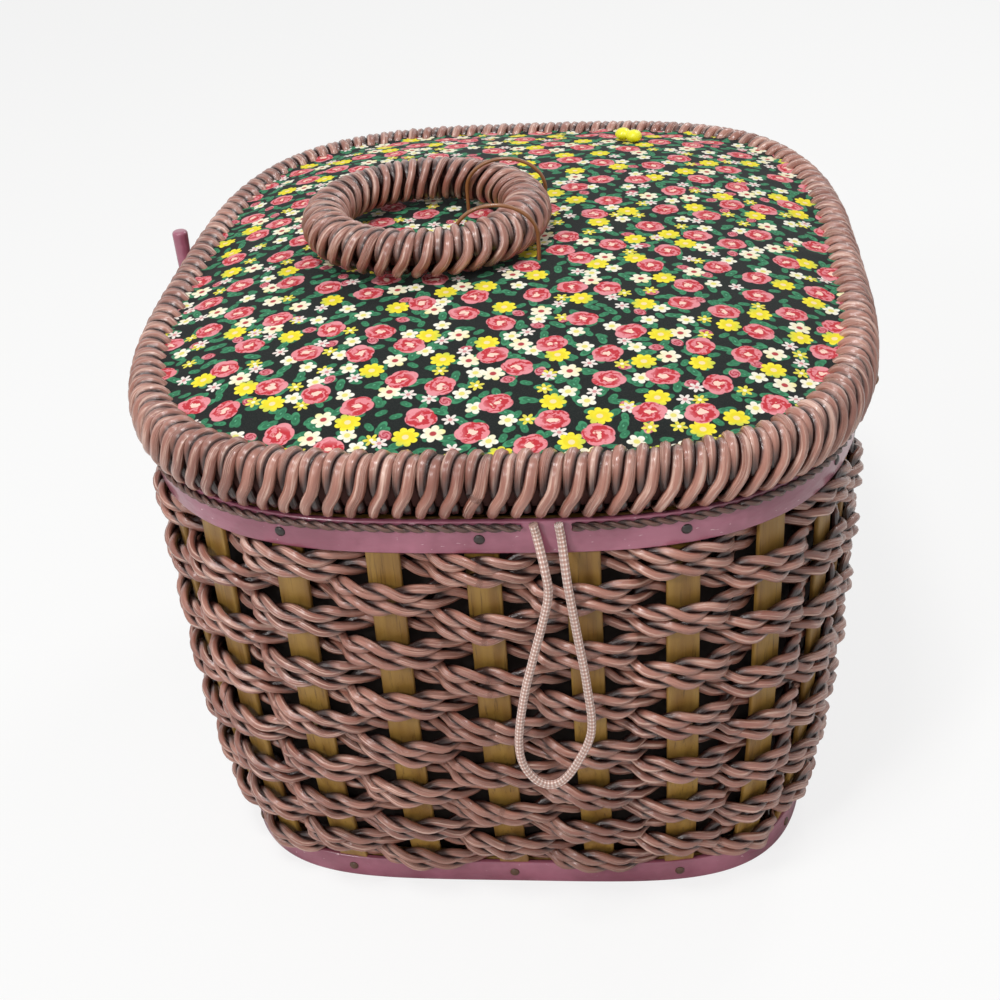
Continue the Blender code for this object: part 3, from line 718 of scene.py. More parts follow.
@dataclass(frozen=True)
class StrandFinish(Finish):
    """Twisted paper strand under a pearly dye: fine lengthwise creases, with painted highlights along the crease
    crests and a dark brown painted shade between the strands.

    The creases are drawn about a millimetre apart, coarser than life, so that they show.
    """

    relief: float = 0.00045
    relief_strength: float = 0.9
    coat: float = 0.7
    coat_roughness: float = 0.19
    # Painted shade: the dark brown laid between the strands and on their sides turned away from the rope's outside.
    painted_crevice_shade: str = "2C0E08"
    brown: str = "8C5647"
    # Painted highlight: the pale colour laid along the crease crests.
    painted_highlight: str = "E3BFAE"
    strand_girth: float = 0.0024
    strand_shift: float = 7.3
    crease_length: float = 0.014
    crease_pitch: float = 0.0007
    crease_detail: float = 4.0
    crease_roughness: float = 0.6
    blotches_per_metre: float = 45.0
    blotch_span: tuple[float, float] = (0.35, 0.65)
    groove_span: tuple[float, float] = (0.50, 0.34)
    groove_share: float = 0.55
    highlight_streak_span: tuple[float, float] = (0.50, 0.68)
    highlight_streak_share: float = 0.75
    painted_shade_span: tuple[float, float] = (0.34, 0.70)
    rough_span: tuple[float, float] = (0.3, 0.8)
    rough_below: float = 0.06
    rough_above: float = 0.12

    def creases(self, tree: bpy.types.NodeTree) -> bpy.types.NodeSocket:
        """Draws the creases that run along each strand.

        Args:
            tree: the material's tree.

        Returns:
            Their height, from 0 to 1.
        """
        add = partial(add_node, tree)
        map_of = {key: add(ATTRIBUTE, out="Fac", attribute_name=key) for key in ("around", "along", "strand")}
        around = add(MATH, map_of["around"], FULL_TURN, operation="MULTIPLY")
        lengthwise = add(MATH, map_of["along"], self.crease_length, operation="DIVIDE")
        shift = add(MATH, map_of["strand"], self.strand_shift, operation="MULTIPLY")
        spread = self.strand_girth / self.crease_pitch / 2
        place = add("ShaderNodeCombineXYZ",
                    add(MATH, lengthwise, shift, operation="ADD"),
                    add(MATH, add(MATH, around, operation="COSINE"), spread, operation="MULTIPLY"),
                    add(MATH, add(MATH, around, operation="SINE"), spread, operation="MULTIPLY"))
        return add(NOISE, place, 0.0, 1.0, self.crease_detail, self.crease_roughness)

    def paint(self, tree: bpy.types.NodeTree) -> dict[str, Any]:
        """Lays dye blotches, a darker brown in the crease valleys that is partly painted shade, painted highlight
        streaks on the crease crests and the painted shade between the strands over each other.

        Args:
            tree: the material's tree.

        Returns:
            The colour, roughness and height.
        """
        add = partial(add_node, tree)
        creases = self.creases(tree)
        blotches = add(NOISE, add(PLACE, out="Object"), 0.0, self.blotches_per_metre, 2.0, 0.5)
        brown = linear(self.brown)
        layers = (
            (add(RAMP, blotches, *self.blotch_span, **SMOOTH), brown),
            # A darker brown along the crease valleys: partly the strand's own streaky tone, partly painted shade in
            # the creases.
            (add(RAMP, creases, *self.groove_span, 0.0, self.groove_share, **SMOOTH), brown),
            # Painted highlight: pale streaks on the crease crests.
            (add(RAMP, creases, *self.highlight_streak_span, 0.0, self.highlight_streak_share, **SMOOTH), linear(self.painted_highlight)))
        colour: Any = linear(self.colour)
        for share, over in layers:
            colour = add(MIX, named={0: share, 6: colour, 7: over}, **COLOURS)
        # Painted shade: the dark brown takes over where the crown share is low, between the strands and where one
        # passes behind another.
        crown = add(RAMP, add(ATTRIBUTE, out="Fac", attribute_name="crown"), *self.painted_shade_span, **SMOOTH)
        coloured = add(MIX, named={0: crown, 6: linear(self.painted_crevice_shade), 7: colour}, **COLOURS)
        rough = add(RAMP, creases, *self.rough_span, self.roughness - self.rough_below,
                    self.roughness + self.rough_above, **SMOOTH)
        return {"Base Color": coloured, "Roughness": rough, "Height": creases}


@dataclass(frozen=True)
class PatternFinish(Finish):
    """A finish of two tones, each a noise that is stretched, scaled and ramped over the colour under it."""

    def tones(self) -> tuple[tuple[tuple[float, float, float], float, float, float, tuple[float, ...], str], ...]:
        """Gives each tone's stretch, scale per metre, detail, roughness, ramp and colour, the lowest first."""
        raise NotImplementedError

    def height(self) -> tuple[tuple[float, float, float], float, float, float]:
        """Gives the stretch, scale per metre, detail and roughness of the relief."""
        stretch, scale, detail, rough, _, _ = self.tones()[-1]
        return stretch, scale, detail, rough

    def paint(self, tree: bpy.types.NodeTree) -> dict[str, Any]:
        """Lays the tones over the colour.

        Args:
            tree: the material's tree.

        Returns:
            The colour and height.
        """
        add = partial(add_node, tree)
        place = add(PLACE, out="Object")
        colour: Any = linear(self.colour)
        for stretch, scale, detail, rough, ramp, tone in self.tones():
            noise = add(NOISE, add(VECTOR, place, stretch, operation="MULTIPLY"), 0.0, scale, detail, rough)
            share = add(RAMP, noise, *ramp, **SMOOTH)
            colour = add(MIX, named={0: share, 6: colour, 7: linear(tone)}, **COLOURS)
        stretch, scale, detail, rough = self.height()
        height = add(NOISE, add(VECTOR, place, stretch, operation="MULTIPLY"), 0.0, scale, detail, rough)
        return {"Base Color": colour, "Height": height}


EVEN = (1.0, 1.0, 1.0)


@dataclass(frozen=True)
class LacquerFinish(PatternFinish):
    """Mauve lacquer brushed on a bent strip: a clear gloss, faint brush lines and pale scuffs."""

    relief: float = 0.0005
    coat: float = 0.5
    coat_roughness: float = 0.12
    scuff: str = "D8B4BA"
    shade: str = "8F4C60"
    mottles_per_metre: float = 38.0
    scuffs_per_metre: float = 420.0
    scuff_squash: float = 2.4
    brush_lines_per_metre: float = 150.0
    brush_squash: float = 3.0

    def tones(self) -> tuple:
        """Gives a darker mottling under the scuffs."""
        return (
            (EVEN, self.mottles_per_metre, 4.0, 0.6, (0.7, 0.35), self.shade),
            ((1.0, 1.0, self.scuff_squash), self.scuffs_per_metre, 2.0, 0.5, (0.70, 0.76, 0.0, 0.8), self.scuff))

    def height(self) -> tuple:
        """Gives the brush lines."""
        return (1.0, 1.0, self.brush_squash), self.brush_lines_per_metre, 3.0, 0.5


@dataclass(frozen=True)
class WoodFinish(PatternFinish):
    """Split wood under a thin varnish: long vertical pores and darker year lines."""

    relief_strength: float = 0.6
    coat: float = 0.15
    coat_roughness: float = 0.35
    dark: str = "4A3012"
    light: str = "A47E38"
    grain_pitch: float = 0.0009
    grain_length_share: float = 0.04
    year_line_share: float = 0.2

    def tones(self) -> tuple:
        """Gives pale year lines under dark pores, which also make the relief."""
        drawn = (1.0, 1.0, self.grain_length_share)
        return (
            (drawn, self.year_line_share / self.grain_pitch, 2.0, 0.5, (0.3, 0.7), self.light),
            (drawn, 1 / self.grain_pitch, 5.0, 0.65, (0.52, 0.74, 0.0, 0.75), self.dark))


@dataclass(frozen=True)
class ClothFinish(PatternFinish):
    """Plain woven lining cloth: its threads, drawn coarser than life so that they show."""

    relief: float = 0.0004
    sheen: float = 0.3
    thread_pitch: float = 0.0009
    blotches_per_metre: float = 30.0
    shade: str = "A9707C"
    light: str = "E0B7BF"

    def tones(self) -> tuple:
        """Gives soft blotches under pale threads, which also make the relief."""
        return (
            (EVEN, self.blotches_per_metre, 3.0, 0.5, (0.3, 0.7, 0.0, 0.35), self.shade),
            (EVEN, 1 / self.thread_pitch, 2.0, 0.5, (0.4, 0.8, 0.0, 0.4), self.light))


@dataclass(frozen=True)
class CoatingFinish(PatternFinish):
    """A smooth coating, such as vinyl on wire or moulded plastic, with slight unevenness."""

    relief_strength: float = 0.3
    coat: float = 0.3
    second: str = "000000"
    blotches_per_metre: float = 120.0

    def tones(self) -> tuple:
        """Gives soft blotches, which also make the relief."""
        return ((EVEN, self.blotches_per_metre, 3.0, 0.5, (0.35, 0.75, 0.0, 0.5), self.second),)


@dataclass(frozen=True)
class BraidFinish(Finish):
    """Fine braided cord: two sets of crossing yarns with pale flecks, from the tube's own map."""

    relief: float = 0.0002
    relief_strength: float = 0.6
    sheen: float = 0.3
    fleck: str = "F8EFE8"
    dark: str = "B28A7D"
    yarn_pitch: float = 0.0012
    yarns_round: int = 8
    yarn_span: tuple[float, float] = (-0.6, 0.5)
    fleck_span: tuple[float, float] = (0.45, 0.8)

    def paint(self, tree: bpy.types.NodeTree) -> dict[str, Any]:
        """Crosses left-hand and right-hand yarns.

        Args:
            tree: the material's tree.

        Returns:
            The colour and height.
        """
        add = partial(add_node, tree)
        lengthwise = add(MATH, add(ATTRIBUTE, out="Fac", attribute_name="along"),
                         FULL_TURN / 2 / self.yarn_pitch, operation="MULTIPLY")
        around = add(MATH, add(ATTRIBUTE, out="Fac", attribute_name="around"),
                     FULL_TURN * self.yarns_round / 2, operation="MULTIPLY")
        left, right = (add(MATH, add(MATH, lengthwise, around, operation=way), operation="SINE")
                       for way in ("ADD", "SUBTRACT"))
        weave = add(MATH, left, right, operation="MULTIPLY")
        yarn = add(RAMP, weave, *self.yarn_span, **SMOOTH)
        base = add(MIX, named={0: yarn, 6: linear(self.dark), 7: linear(self.colour)}, **COLOURS)
        fleck = add(RAMP, weave, *self.fleck_span, **SMOOTH)
        flecked = add(MIX, named={0: fleck, 6: base, 7: linear(self.fleck)}, **COLOURS)
        return {"Base Color": flecked, "Height": weave}


@dataclass(frozen=True)
class Motif:
    """One kind of flower or leaf in the print, scattered on its own jittered grid; a leaf has two petals."""

    cell: float
    share: float
    radius: float
    petals: int
    notch: float
    outer: str
    inner: str
    centre: str
    centre_share: float
    shift: tuple[float, float]
    turn: float
    blush: str
    slimness: float = 0.6
    stretch: float = 1.0
    swirl: float = 0.16
    ruffle: float = 0.0


@dataclass(frozen=True)
class PrintFinish(Finish):
    """Printed cotton: small scattered flowers and leaves on a near-black ground, each flower clear of larger ones."""

    relief: float = 0.00012
    relief_strength: float = 0.4
    sheen: float = 0.04
    specular: float = 0.2
    density: float = 1.16
    jitter: float = 0.55
    gap: float = 0.0004
    edge: float = 0.00016
    larger_reach_share: float = 0.80
    own_reach_share: float = 0.62
    cleared_motifs: int = 4
    swirl_pace: float = 11.0
    swirl_arms: float = 2.0
    ruffles_across: float = 2.4
    petal_span: tuple[float, float] = (0.45, 0.85)
    blush_span: tuple[float, float] = (0.25, 0.95)
    blush_share: float = 0.8
    centre_edge: tuple[float, float] = (0.8, 1.2)
    threads_per_metre: float = 2600.0
    thread_span: tuple[float, float] = (0.35, 0.75)
    thread_share: float = 0.04
    thread: str = "8C8C84"
    motifs: tuple[Motif, ...] = (
        Motif(0.0188, 1.00, 0.0049, 5, 0.14, "DE858C", "BC303A", "F3CDBB", 0.24, (0.3, 0.7), 0.45, "E0929A",
              0.6, 1.10, 0.42, 1.1),
        Motif(0.0180, 0.95, 0.0041, 8, 0.34, "F1E23A", "E6D42A", "F2D9A4", 0.24, (5.1, 2.4), 1.10, "B4C44E"),
        Motif(0.0160, 0.95, 0.0038, 6, 0.44, "F0EBD8", "ECE4C4", "AE3F42", 0.27, (9.7, 4.2), 0.20, "E9E08C", 0.7),
        Motif(0.0116, 0.95, 0.0030, 5, 0.50, "F0EEE2", "EAE4CC", "E2D878", 0.32, (3.3, 8.8), 0.75, "E8E0B8", 0.7),
        Motif(0.0102, 0.95, 0.0026, 6, 0.66, "EAE4DC", "E2D6CE", "CF8E8E", 0.26, (4.6, 0.9), 0.55, "E0CCC6", 1.1),
        Motif(0.0110, 0.95, 0.0026, 6, 0.66, "E6DC56", "DACE42", "F0EACC", 0.24, (7.9, 1.6), 1.35, "D2C95C", 1.1),
        Motif(0.0112, 0.85, 0.0020, 4, 0.12, "D4818A", "AC3B48", "C96C78", 0.25, (2.2, 6.1), 0.95, "DA9AA0",
              0.6, 1.2, 0.5, 0.6),
        Motif(0.0084, 0.95, 0.0021, 2, 0.30, "3F8A62", "2C6C4C", "56A07A", 0.15, (6.4, 3.9), 0.60, "2A6347",
              0.8, 1.5),
        Motif(0.0066, 0.95, 0.0016, 2, 0.25, "3A835C", "2E7250", "4C946E", 0.15, (1.4, 9.3), 0.30, "275E45",
              0.8, 1.3),
    )

    def grid(self, tree: bpy.types.NodeTree, motif: Motif, place: Any) -> tuple[Any, Any, Any]:
        """Finds the nearest centre of a motif.

        Args:
            tree: the material's tree.
            motif: the motif whose grid is asked.
            place: the place on the cloth, in metres.

        Returns:
            The offset from the centre in metres, the centre's place on the grid and its random channels.
        """
        add = partial(add_node, tree)
        turned = add(ROTATE, named={"Vector": place, "Angle": motif.turn}, rotation_type="Z_AXIS")
        sized = add(VECTOR, turned, named={"Scale": 1 / motif.cell}, operation="SCALE")
        grid_place = add(VECTOR, sized, (*motif.shift, 0.0), operation="ADD")
        cells = add("ShaderNodeTexVoronoi", named={"Vector": grid_place, "Scale": 1.0, "Randomness": self.jitter},
                    out=None, voronoi_dimensions="2D")
        centre = cells["Position"]
        away = add(VECTOR, grid_place, centre, operation="SUBTRACT")
        offset = add(VECTOR, away, named={"Scale": motif.cell}, operation="SCALE")
        return offset, centre, add("ShaderNodeSeparateColor", cells["Color"], out=None)

    def clear_of(self, tree: bpy.types.NodeTree, motif: Motif, centre: Any, larger: Motif) -> Any:
        """Tests whether a motif's centre lies clear of a larger motif that is drawn.

        Args:
            tree: the material's tree.
            motif: the smaller motif.
            centre: its centre's place on its own grid.
            larger: the larger motif.

        Returns:
            1 where it is clear, else 0.
        """
        add = partial(add_node, tree)
        unmoved = add(VECTOR, centre, (*motif.shift, 0.0), operation="SUBTRACT")
        sized = add(VECTOR, unmoved, named={"Scale": motif.cell}, operation="SCALE")
        on_cloth = add(ROTATE, named={"Vector": sized, "Angle": -motif.turn}, rotation_type="Z_AXIS")
        offset, _, chance = self.grid(tree, larger, on_cloth)
        drawn = add(MATH, chance[1], larger.share, operation="LESS_THAN")
        least = larger.radius * self.larger_reach_share + motif.radius * self.own_reach_share + self.gap
        distance = add(VECTOR, offset, out="Value", operation="LENGTH")
        near = add(MATH, distance, least, operation="LESS_THAN")
        return add(MATH, 1.0, add(MATH, near, drawn, operation="MULTIPLY"), operation="SUBTRACT")

    def shades(self, tree: bpy.types.NodeTree, motif: Motif, place: Any, across: Any, angle: Any, reach: Any) -> Any:
        """Colours one motif from its heart to the tips of its petals.

        Args:
            tree: the material's tree.
            motif: the motif.
            place: the place on the cloth.
            across: the place across the motif, which tints one side.
            angle: the angle round its centre.
            reach: the distance from its centre.

        Returns:
            The colour.
        """
        add = partial(add_node, tree)
        depth = add(MATH, reach, motif.radius, operation="DIVIDE")
        if motif.ruffle:
            noise = add(NOISE, place, 0.0, self.ruffles_across / motif.radius, 2.0, 0.5)
            folds = add(MATH, noise, 0.5, operation="SUBTRACT")
            depth = add(MATH, folds, motif.ruffle, depth, operation="MULTIPLY_ADD")
        arms = add(MATH, angle, self.swirl_arms, operation="MULTIPLY")
        swirl = add(MATH, add(MATH, depth, self.swirl_pace, arms, operation="MULTIPLY_ADD"), operation="SINE")
        swirled = add(MATH, swirl, motif.swirl, depth, operation="MULTIPLY_ADD")
        side = (share * motif.radius for share in self.blush_span)
        heart = (motif.centre_share * share for share in self.centre_edge)
        shares = (add(RAMP, swirled, *self.petal_span, **SMOOTH),
                  add(RAMP, across, *side, 0.0, self.blush_share, **SMOOTH))
        colour: Any = linear(motif.inner)
        for share, over in zip(shares, (motif.outer, motif.blush)):
            colour = add(MIX, named={0: share, 6: colour, 7: linear(over)}, **COLOURS)
        inner = add(RAMP, depth, *heart, **SMOOTH)
        return add(MIX, named={0: inner, 6: linear(motif.centre), 7: colour}, **COLOURS)

    def draw(self, tree: bpy.types.NodeTree, motif: Motif, place: Any, larger: Sequence[Motif], under: Any) -> Any:
        """Draws one motif over the colour under it.

        Args:
            tree: the material's tree.
            motif: the motif.
            place: the place on the cloth.
            larger: the motifs that it stays clear of.
            under: the colour under it.

        Returns:
            The new colour.
        """
        add = partial(add_node, tree)
        offset, centre, chance = self.grid(tree, motif, place)
        spin = add(MATH, chance[0], FULL_TURN, operation="MULTIPLY")
        turned = add(ROTATE, named={"Vector": offset, "Angle": spin}, rotation_type="Z_AXIS")
        squeezed = add(VECTOR, turned, (1 / motif.stretch, motif.stretch ** 0.5, 0.0), operation="MULTIPLY")
        parts = add("ShaderNodeSeparateXYZ", squeezed, out=None)
        angle = add(MATH, parts[1], parts[0], operation="ARCTAN2")
        reach = add(VECTOR, squeezed, out="Value", operation="LENGTH")
        half_turns = add(MATH, angle, motif.petals / 2, operation="MULTIPLY")
        wave = add(MATH, add(MATH, half_turns, operation="COSINE"), operation="ABSOLUTE")
        lobes = add(MATH, wave, motif.slimness, operation="POWER")
        limit = add(MATH, lobes, motif.radius * motif.notch, motif.radius * (1 - motif.notch),
                    operation="MULTIPLY_ADD")
        inside = add(RAMP, add(MATH, limit, reach, operation="SUBTRACT"), -self.edge, self.edge, **SMOOTH)
        drawn = add(MATH, chance[1], motif.share, operation="LESS_THAN")
        shown = add(MATH, inside, drawn, operation="MULTIPLY")
        for other in larger:
            shown = add(MATH, shown, self.clear_of(tree, motif, centre, other), operation="MULTIPLY")
        shades = self.shades(tree, motif, place, parts[0], angle, reach)
        return add(MIX, named={0: shown, 6: under, 7: shades}, **COLOURS)

    def paint(self, tree: bpy.types.NodeTree) -> dict[str, Any]:
        """Prints the motifs, the smallest first, and lets the threads show faintly.

        Args:
            tree: the material's tree.

        Returns:
            The colour, the specular level and the height.
        """
        add = partial(add_node, tree)
        place = add(PLACE, out="Object")
        flat = add(VECTOR, place, (self.density, self.density, 0.0), operation="MULTIPLY")
        printed: Any = linear(self.colour)
        for i, motif in reversed(list(enumerate(self.motifs))):
            leaf = motif.petals == 2
            larger = () if leaf else self.motifs[:min(i, self.cleared_motifs)]
            printed = self.draw(tree, motif, flat, larger, printed)
        threads = add(NOISE, place, 0.0, self.threads_per_metre, 2.0, 0.5)
        shown = add(RAMP, threads, *self.thread_span, 0.0, self.thread_share, **SMOOTH)
        worn = add(MIX, named={0: shown, 6: printed, 7: linear(self.thread)}, **COLOURS)
        return {"Base Color": worn, "Specular IOR Level": self.specular, "Height": threads}


class Finishes:
    """Every finish of the basket, each made once."""

    def __init__(self) -> None:
        """Makes the materials."""
        self.strand = StrandFinish("dyed_twisted_paper_strand", "AE7766", 0.36).build()
        # Painted shade: the hem is the strand finish darkened, for the rope that lies in the rim's shadow.
        self.hem = StrandFinish("hem_rope_painted_shade", "6A4236", 0.5, brown="4A2C24", painted_highlight="8E6656").build()
        self.lacquer = LacquerFinish("mauve_brushed_lacquer", "B26A80", 0.30).build()
        self.stake = WoodFinish("varnished_split_wood", "866028", 0.5).build()
        # Painted shade: the card behind the weave is near-black so that the gaps between the rows read as shade.
        self.card = CoatingFinish("lining_card_painted_shade", "241813", 0.9, second="140D0A", coat=0.0).build()
        self.plywood = WoodFinish("bare_plywood", "C3A273", 0.65, dark="8E6C42", light="D8BC8E").build()
        self.lining = ClothFinish("dusty_pink_lining_cloth", "C98F9A", 0.85).build()
        self.print = PrintFinish("printed_cotton", "0A1110", 0.85).build()
        self.wire = CoatingFinish("brown_coated_wire", "8C5A32", 0.32, second="6E4020").build()
        self.braid = BraidFinish("braided_pink_cord", "DDB9AC", 0.6).build()
        self.yellow = CoatingFinish("yellow_moulded_plastic", "F2EE1E", 0.35, second="D9D60E").build()
        self.black_nail = CoatingFinish("black_nail_head", "1C1412", 0.4, second="3A2420").build()
        self.brown_nail = CoatingFinish("brown_nail_head", "5A3A22", 0.45, second="34200F").build()
        # Painted shade: the hoops under the rim's and the handle's windings are dark brown so that the gaps between
        # strands read as shade.
        self.core = CoatingFinish("inner_hoop_painted_shade", "4A1F18", 0.8, second="2E100B", coat=0.0).build()


@dataclass
class Trees:
    """The three geometry trees."""

    rope: RopeTree = field(default_factory=lambda: RopeTree("twisted_rope"))
    strip: StripTree = field(default_factory=lambda: StripTree("flat_strip"))
    nail: NailTree = field(default_factory=lambda: NailTree("nail_heads"))


@dataclass(frozen=True)
class Rope:
    """How the strands of a rope lie: their thickness, their reach from its core, and how they ease and wander."""

    strand_radius: float
    lay_out: float
    lay_side: float
    ease: float
    # facing sets how far the painted shade between strands follows the side turned away from what the rope lies on.
    facing: float
    wander: float
    phase: float = 0.055
    sides: int = 8
    strands: int = 2

    def twist(self, tree: RopeTree, name: str, paths: Sequence[Path], material: bpy.types.Material,
              twists: float, phase: float | None = None) -> bpy.types.Object:
        """Twists a rope along each path.

        Args:
            tree: the tree that lays the strands.
            name: the piece's name.
            paths: the ropes' lines.
            material: the finish.
            twists: how many turns the strands make along a path.
            phase: where they start, as a share of a turn, if not at the rope's own.

        Returns:
            The finished piece.
        """
        return tree.make(
            name, paths, material, Strands=self.strands, Lay_Out=self.lay_out, Lay_Side=self.lay_side,
            Strand_Radius=self.strand_radius, Twists=float(twists), Phase=self.phase if phase is None else phase,
            Ease=self.ease, Facing=self.facing, Wander=self.wander, Sides=self.sides)


@dataclass
class WovenWall:
    """The stakes and the fourteen rows of paired ropes that pass outside and inside them."""

    trees: Trees
    finishes: Finishes
    rope: Rope = Rope(0.00128, 0.00116, 0.00116, ease=4.0, facing=0.35, wander=0.0009)
    row_count: int = 14
    rope_spread: float = 0.0023
    wave_depth: float = 0.0036
    wave_power: float = 0.62
    twist_length: float = 0.0175
    samples_per_twist: int = 13
    sag_beats: tuple[int, int] = (9, 60)
    sag_waves: int = 7
    sag_depth: float = 0.00016
    stake_levels: int = 16
    stake_edge: float = 0.0005
    hoop_thickness: float = 0.0011

    def rope_path(self, row: int, side: int, generator: np.random.Generator) -> tuple[Path, float]:
        """Gives one rope's line through the stakes.

        Args:
            row: the row, counted from the top.
            side: 1 for the row's upper rope and -1 for its lower one.
            generator: the source of the rope's own unevenness.

        Returns:
            The path and its length.
        """
        low = SIZES.base_band_height + SIZES.seat_gap
        high = SIZES.body_height - SIZES.band_height - SIZES.seat_gap
        pitch = (high - low) / self.row_count
        z = high - (row + 0.5) * pitch + side * self.rope_spread
        length = WALL.plan(z).length
        shares = even_shares(int(round(length / self.twist_length)) * self.samples_per_twist)
        wave = np.cos(math.pi * shares * SIZES.stake_count) * (1 if row % 2 == 0 else -1)
        offsets = self.wave_depth * np.sign(wave) * np.abs(wave) ** self.wave_power
        lifts = np.zeros(len(shares))
        for beats in generator.integers(*self.sag_beats, self.sag_waves):
            lifts += self.sag_depth * np.sin(FULL_TURN * (beats * shares + generator.random()))
        return WALL.line(shares, z, offsets, lifts), length

    def make_rows(self) -> None:
        """Makes each row as two ropes of two strands."""
        generator = np.random.default_rng(SEED)
        for row in range(self.row_count):
            ropes = [self.rope_path(row, side, generator) for side in (1, -1)]
            twists = round(ropes[0][1] / self.twist_length)
            name = f"weaver_row_{row + 1:02d}"
            piece = self.rope.twist(self.trees.rope, f"{name}_ropes", [path for path, _ in ropes],
                                    self.finishes.strand, twists, float(generator.random()))
            mount(piece, Body.BASKET, Slot.STRAND, name)

    def stake_path(self, share: float) -> Path:
        """Gives the line up the middle of one stake.

        Args:
            share: the stake's place round the wall.

        Returns:
            The open path.
        """
        levels = np.linspace(SIZES.seat_gap, SIZES.body_height - SIZES.seat_gap, self.stake_levels)
        lines = [WALL.line(np.array([share]), float(level), 0.0) for level in levels]
        return Path(np.vstack([line.points for line in lines]), np.vstack([line.outward for line in lines]), False)

    def make_stakes(self) -> None:
        """Makes the flat stakes, and the hoops at their head and foot."""
        stakes = [self.stake_path(i / SIZES.stake_count) for i in range(SIZES.stake_count)]
        piece = self.trees.strip.make(
            "stakes", stakes, self.finishes.stake, Width=SIZES.stake_width,
            Thickness=SIZES.stake_thickness, Edge=self.stake_edge)
        mount(piece, Body.BASKET, Slot.STAKE, "stake_frame")
        hoops = (("head_hoop", SIZES.body_height - SIZES.band_height / 2, SIZES.band_height),
                 ("foot_hoop", SIZES.base_band_height / 2, SIZES.base_band_height))
        for name, level, height in hoops:
            hoop = self.trees.strip.make(
                name, [WALL.line(even_shares(STRIP_COLUMNS), level, 0.0)], self.finishes.stake,
                Width=height - 2 * SIZES.seat_gap, Thickness=self.hoop_thickness, Edge=self.hoop_thickness / 4)
            mount(hoop, Body.BASKET, Slot.STAKE, "stake_frame")

    def make(self) -> None:
        """Makes the whole wall."""
        self.make_stakes()
        self.make_rows()


@dataclass
class Bands:
    """The lacquered strips nailed round the head and the foot of the stakes, and the rope hem over the top one."""

    trees: Trees
    finishes: Finishes
    hem: Rope = Rope(0.0007, 0.00055, 0.00055, ease=4.0, facing=0.6, wander=0.0002, phase=0.0, sides=6)
    edge: float = 0.0006
    nail_radius: float = 0.0015
    nail_height: float = 0.0006
    top_nail_share: float = 0.45
    hem_twist_length: float = 0.0075
    hem_step: float = 0.0009
    hem_breaks: tuple[tuple[float, float, float], ...] = (
        (0.0173, -0.1270, 0.0058), (0.1045, -0.0450, 0.0085), (0.1045, 0.0450, 0.0085))

    def make_band(self, node: str, low: float, height: float) -> None:
        """Makes one strip round the wall.

        Args:
            node: the solid that it stands for.
            low: the height of its lower edge.
            height: how wide the strip is.
        """
        middle = SIZES.band_outer - SIZES.band_thickness / 2
        line = WALL.line(even_shares(STRIP_COLUMNS), low + height / 2, middle)
        piece = self.trees.strip.make(f"{node}_strip", [line], self.finishes.lacquer, Width=height,
                                      Thickness=SIZES.band_thickness, Edge=self.edge)
        mount(piece, Body.BASKET, Slot.LACQUER, node)

    def make_nails(self, name: str, z: float, material: bpy.types.Material) -> None:
        """Sets a nail head on every second stake.

        Args:
            name: the piece's name.
            z: the nails' height.
            material: the finish.
        """
        shares = np.arange(0, SIZES.stake_count, 2) / SIZES.stake_count
        line = WALL.line(shares, z, SIZES.band_outer)
        piece = self.trees.nail.make(name, [Path(line.points, line.outward, False)], material,
                                     Radius=self.nail_radius, Height=self.nail_height)
        mount(piece, Body.BASKET, Slot.LACQUER)

    def make_hem(self) -> None:
        """Makes the fine rope along the band's top edge, which stops beside the cord and the hinges."""
        reach = self.hem.strand_radius + self.hem.lay_out
        count = int(WALL.plan(SIZES.body_height).length / self.hem_step)
        ring = WALL.line(even_shares(count), SIZES.body_height - reach - SIZES.seat_gap,
                         SIZES.band_outer + reach / 2)
        clear = np.ones(count, dtype=bool)
        for x, y, half in self.hem_breaks:
            clear &= np.hypot(ring.points[:, 0] - x, ring.points[:, 1] - y) > half
        starts = [i for i in range(count) if clear[i] and not clear[i - 1]]
        for number, start in enumerate(starts, 1):
            picked = [start]
            while clear[(picked[-1] + 1) % count]:
                picked.append((picked[-1] + 1) % count)
            run = Path(ring.points[picked], ring.outward[picked], False)
            twists = len(picked) * self.hem_step / self.hem_twist_length
            # The hem takes the darkened strand finish, painted shade for the rim's shadow.
            piece = self.hem.twist(self.trees.rope, f"band_hem_{number}", [run], self.finishes.hem, twists)
            mount(piece, Body.BASKET, Slot.STRAND)

    def make(self) -> None:
        """Makes both strips, their nails and the hem."""
        self.make_hem()
        low = SIZES.body_height - SIZES.band_height
        self.make_band("top_band", low, SIZES.band_height)
        self.make_band("base_band", 0.0, SIZES.base_band_height)
        self.make_nails("top_nails", low + SIZES.band_height * self.top_nail_share, self.finishes.black_nail)
        self.make_nails("base_nails", SIZES.base_band_height / 2, self.finishes.brown_nail)


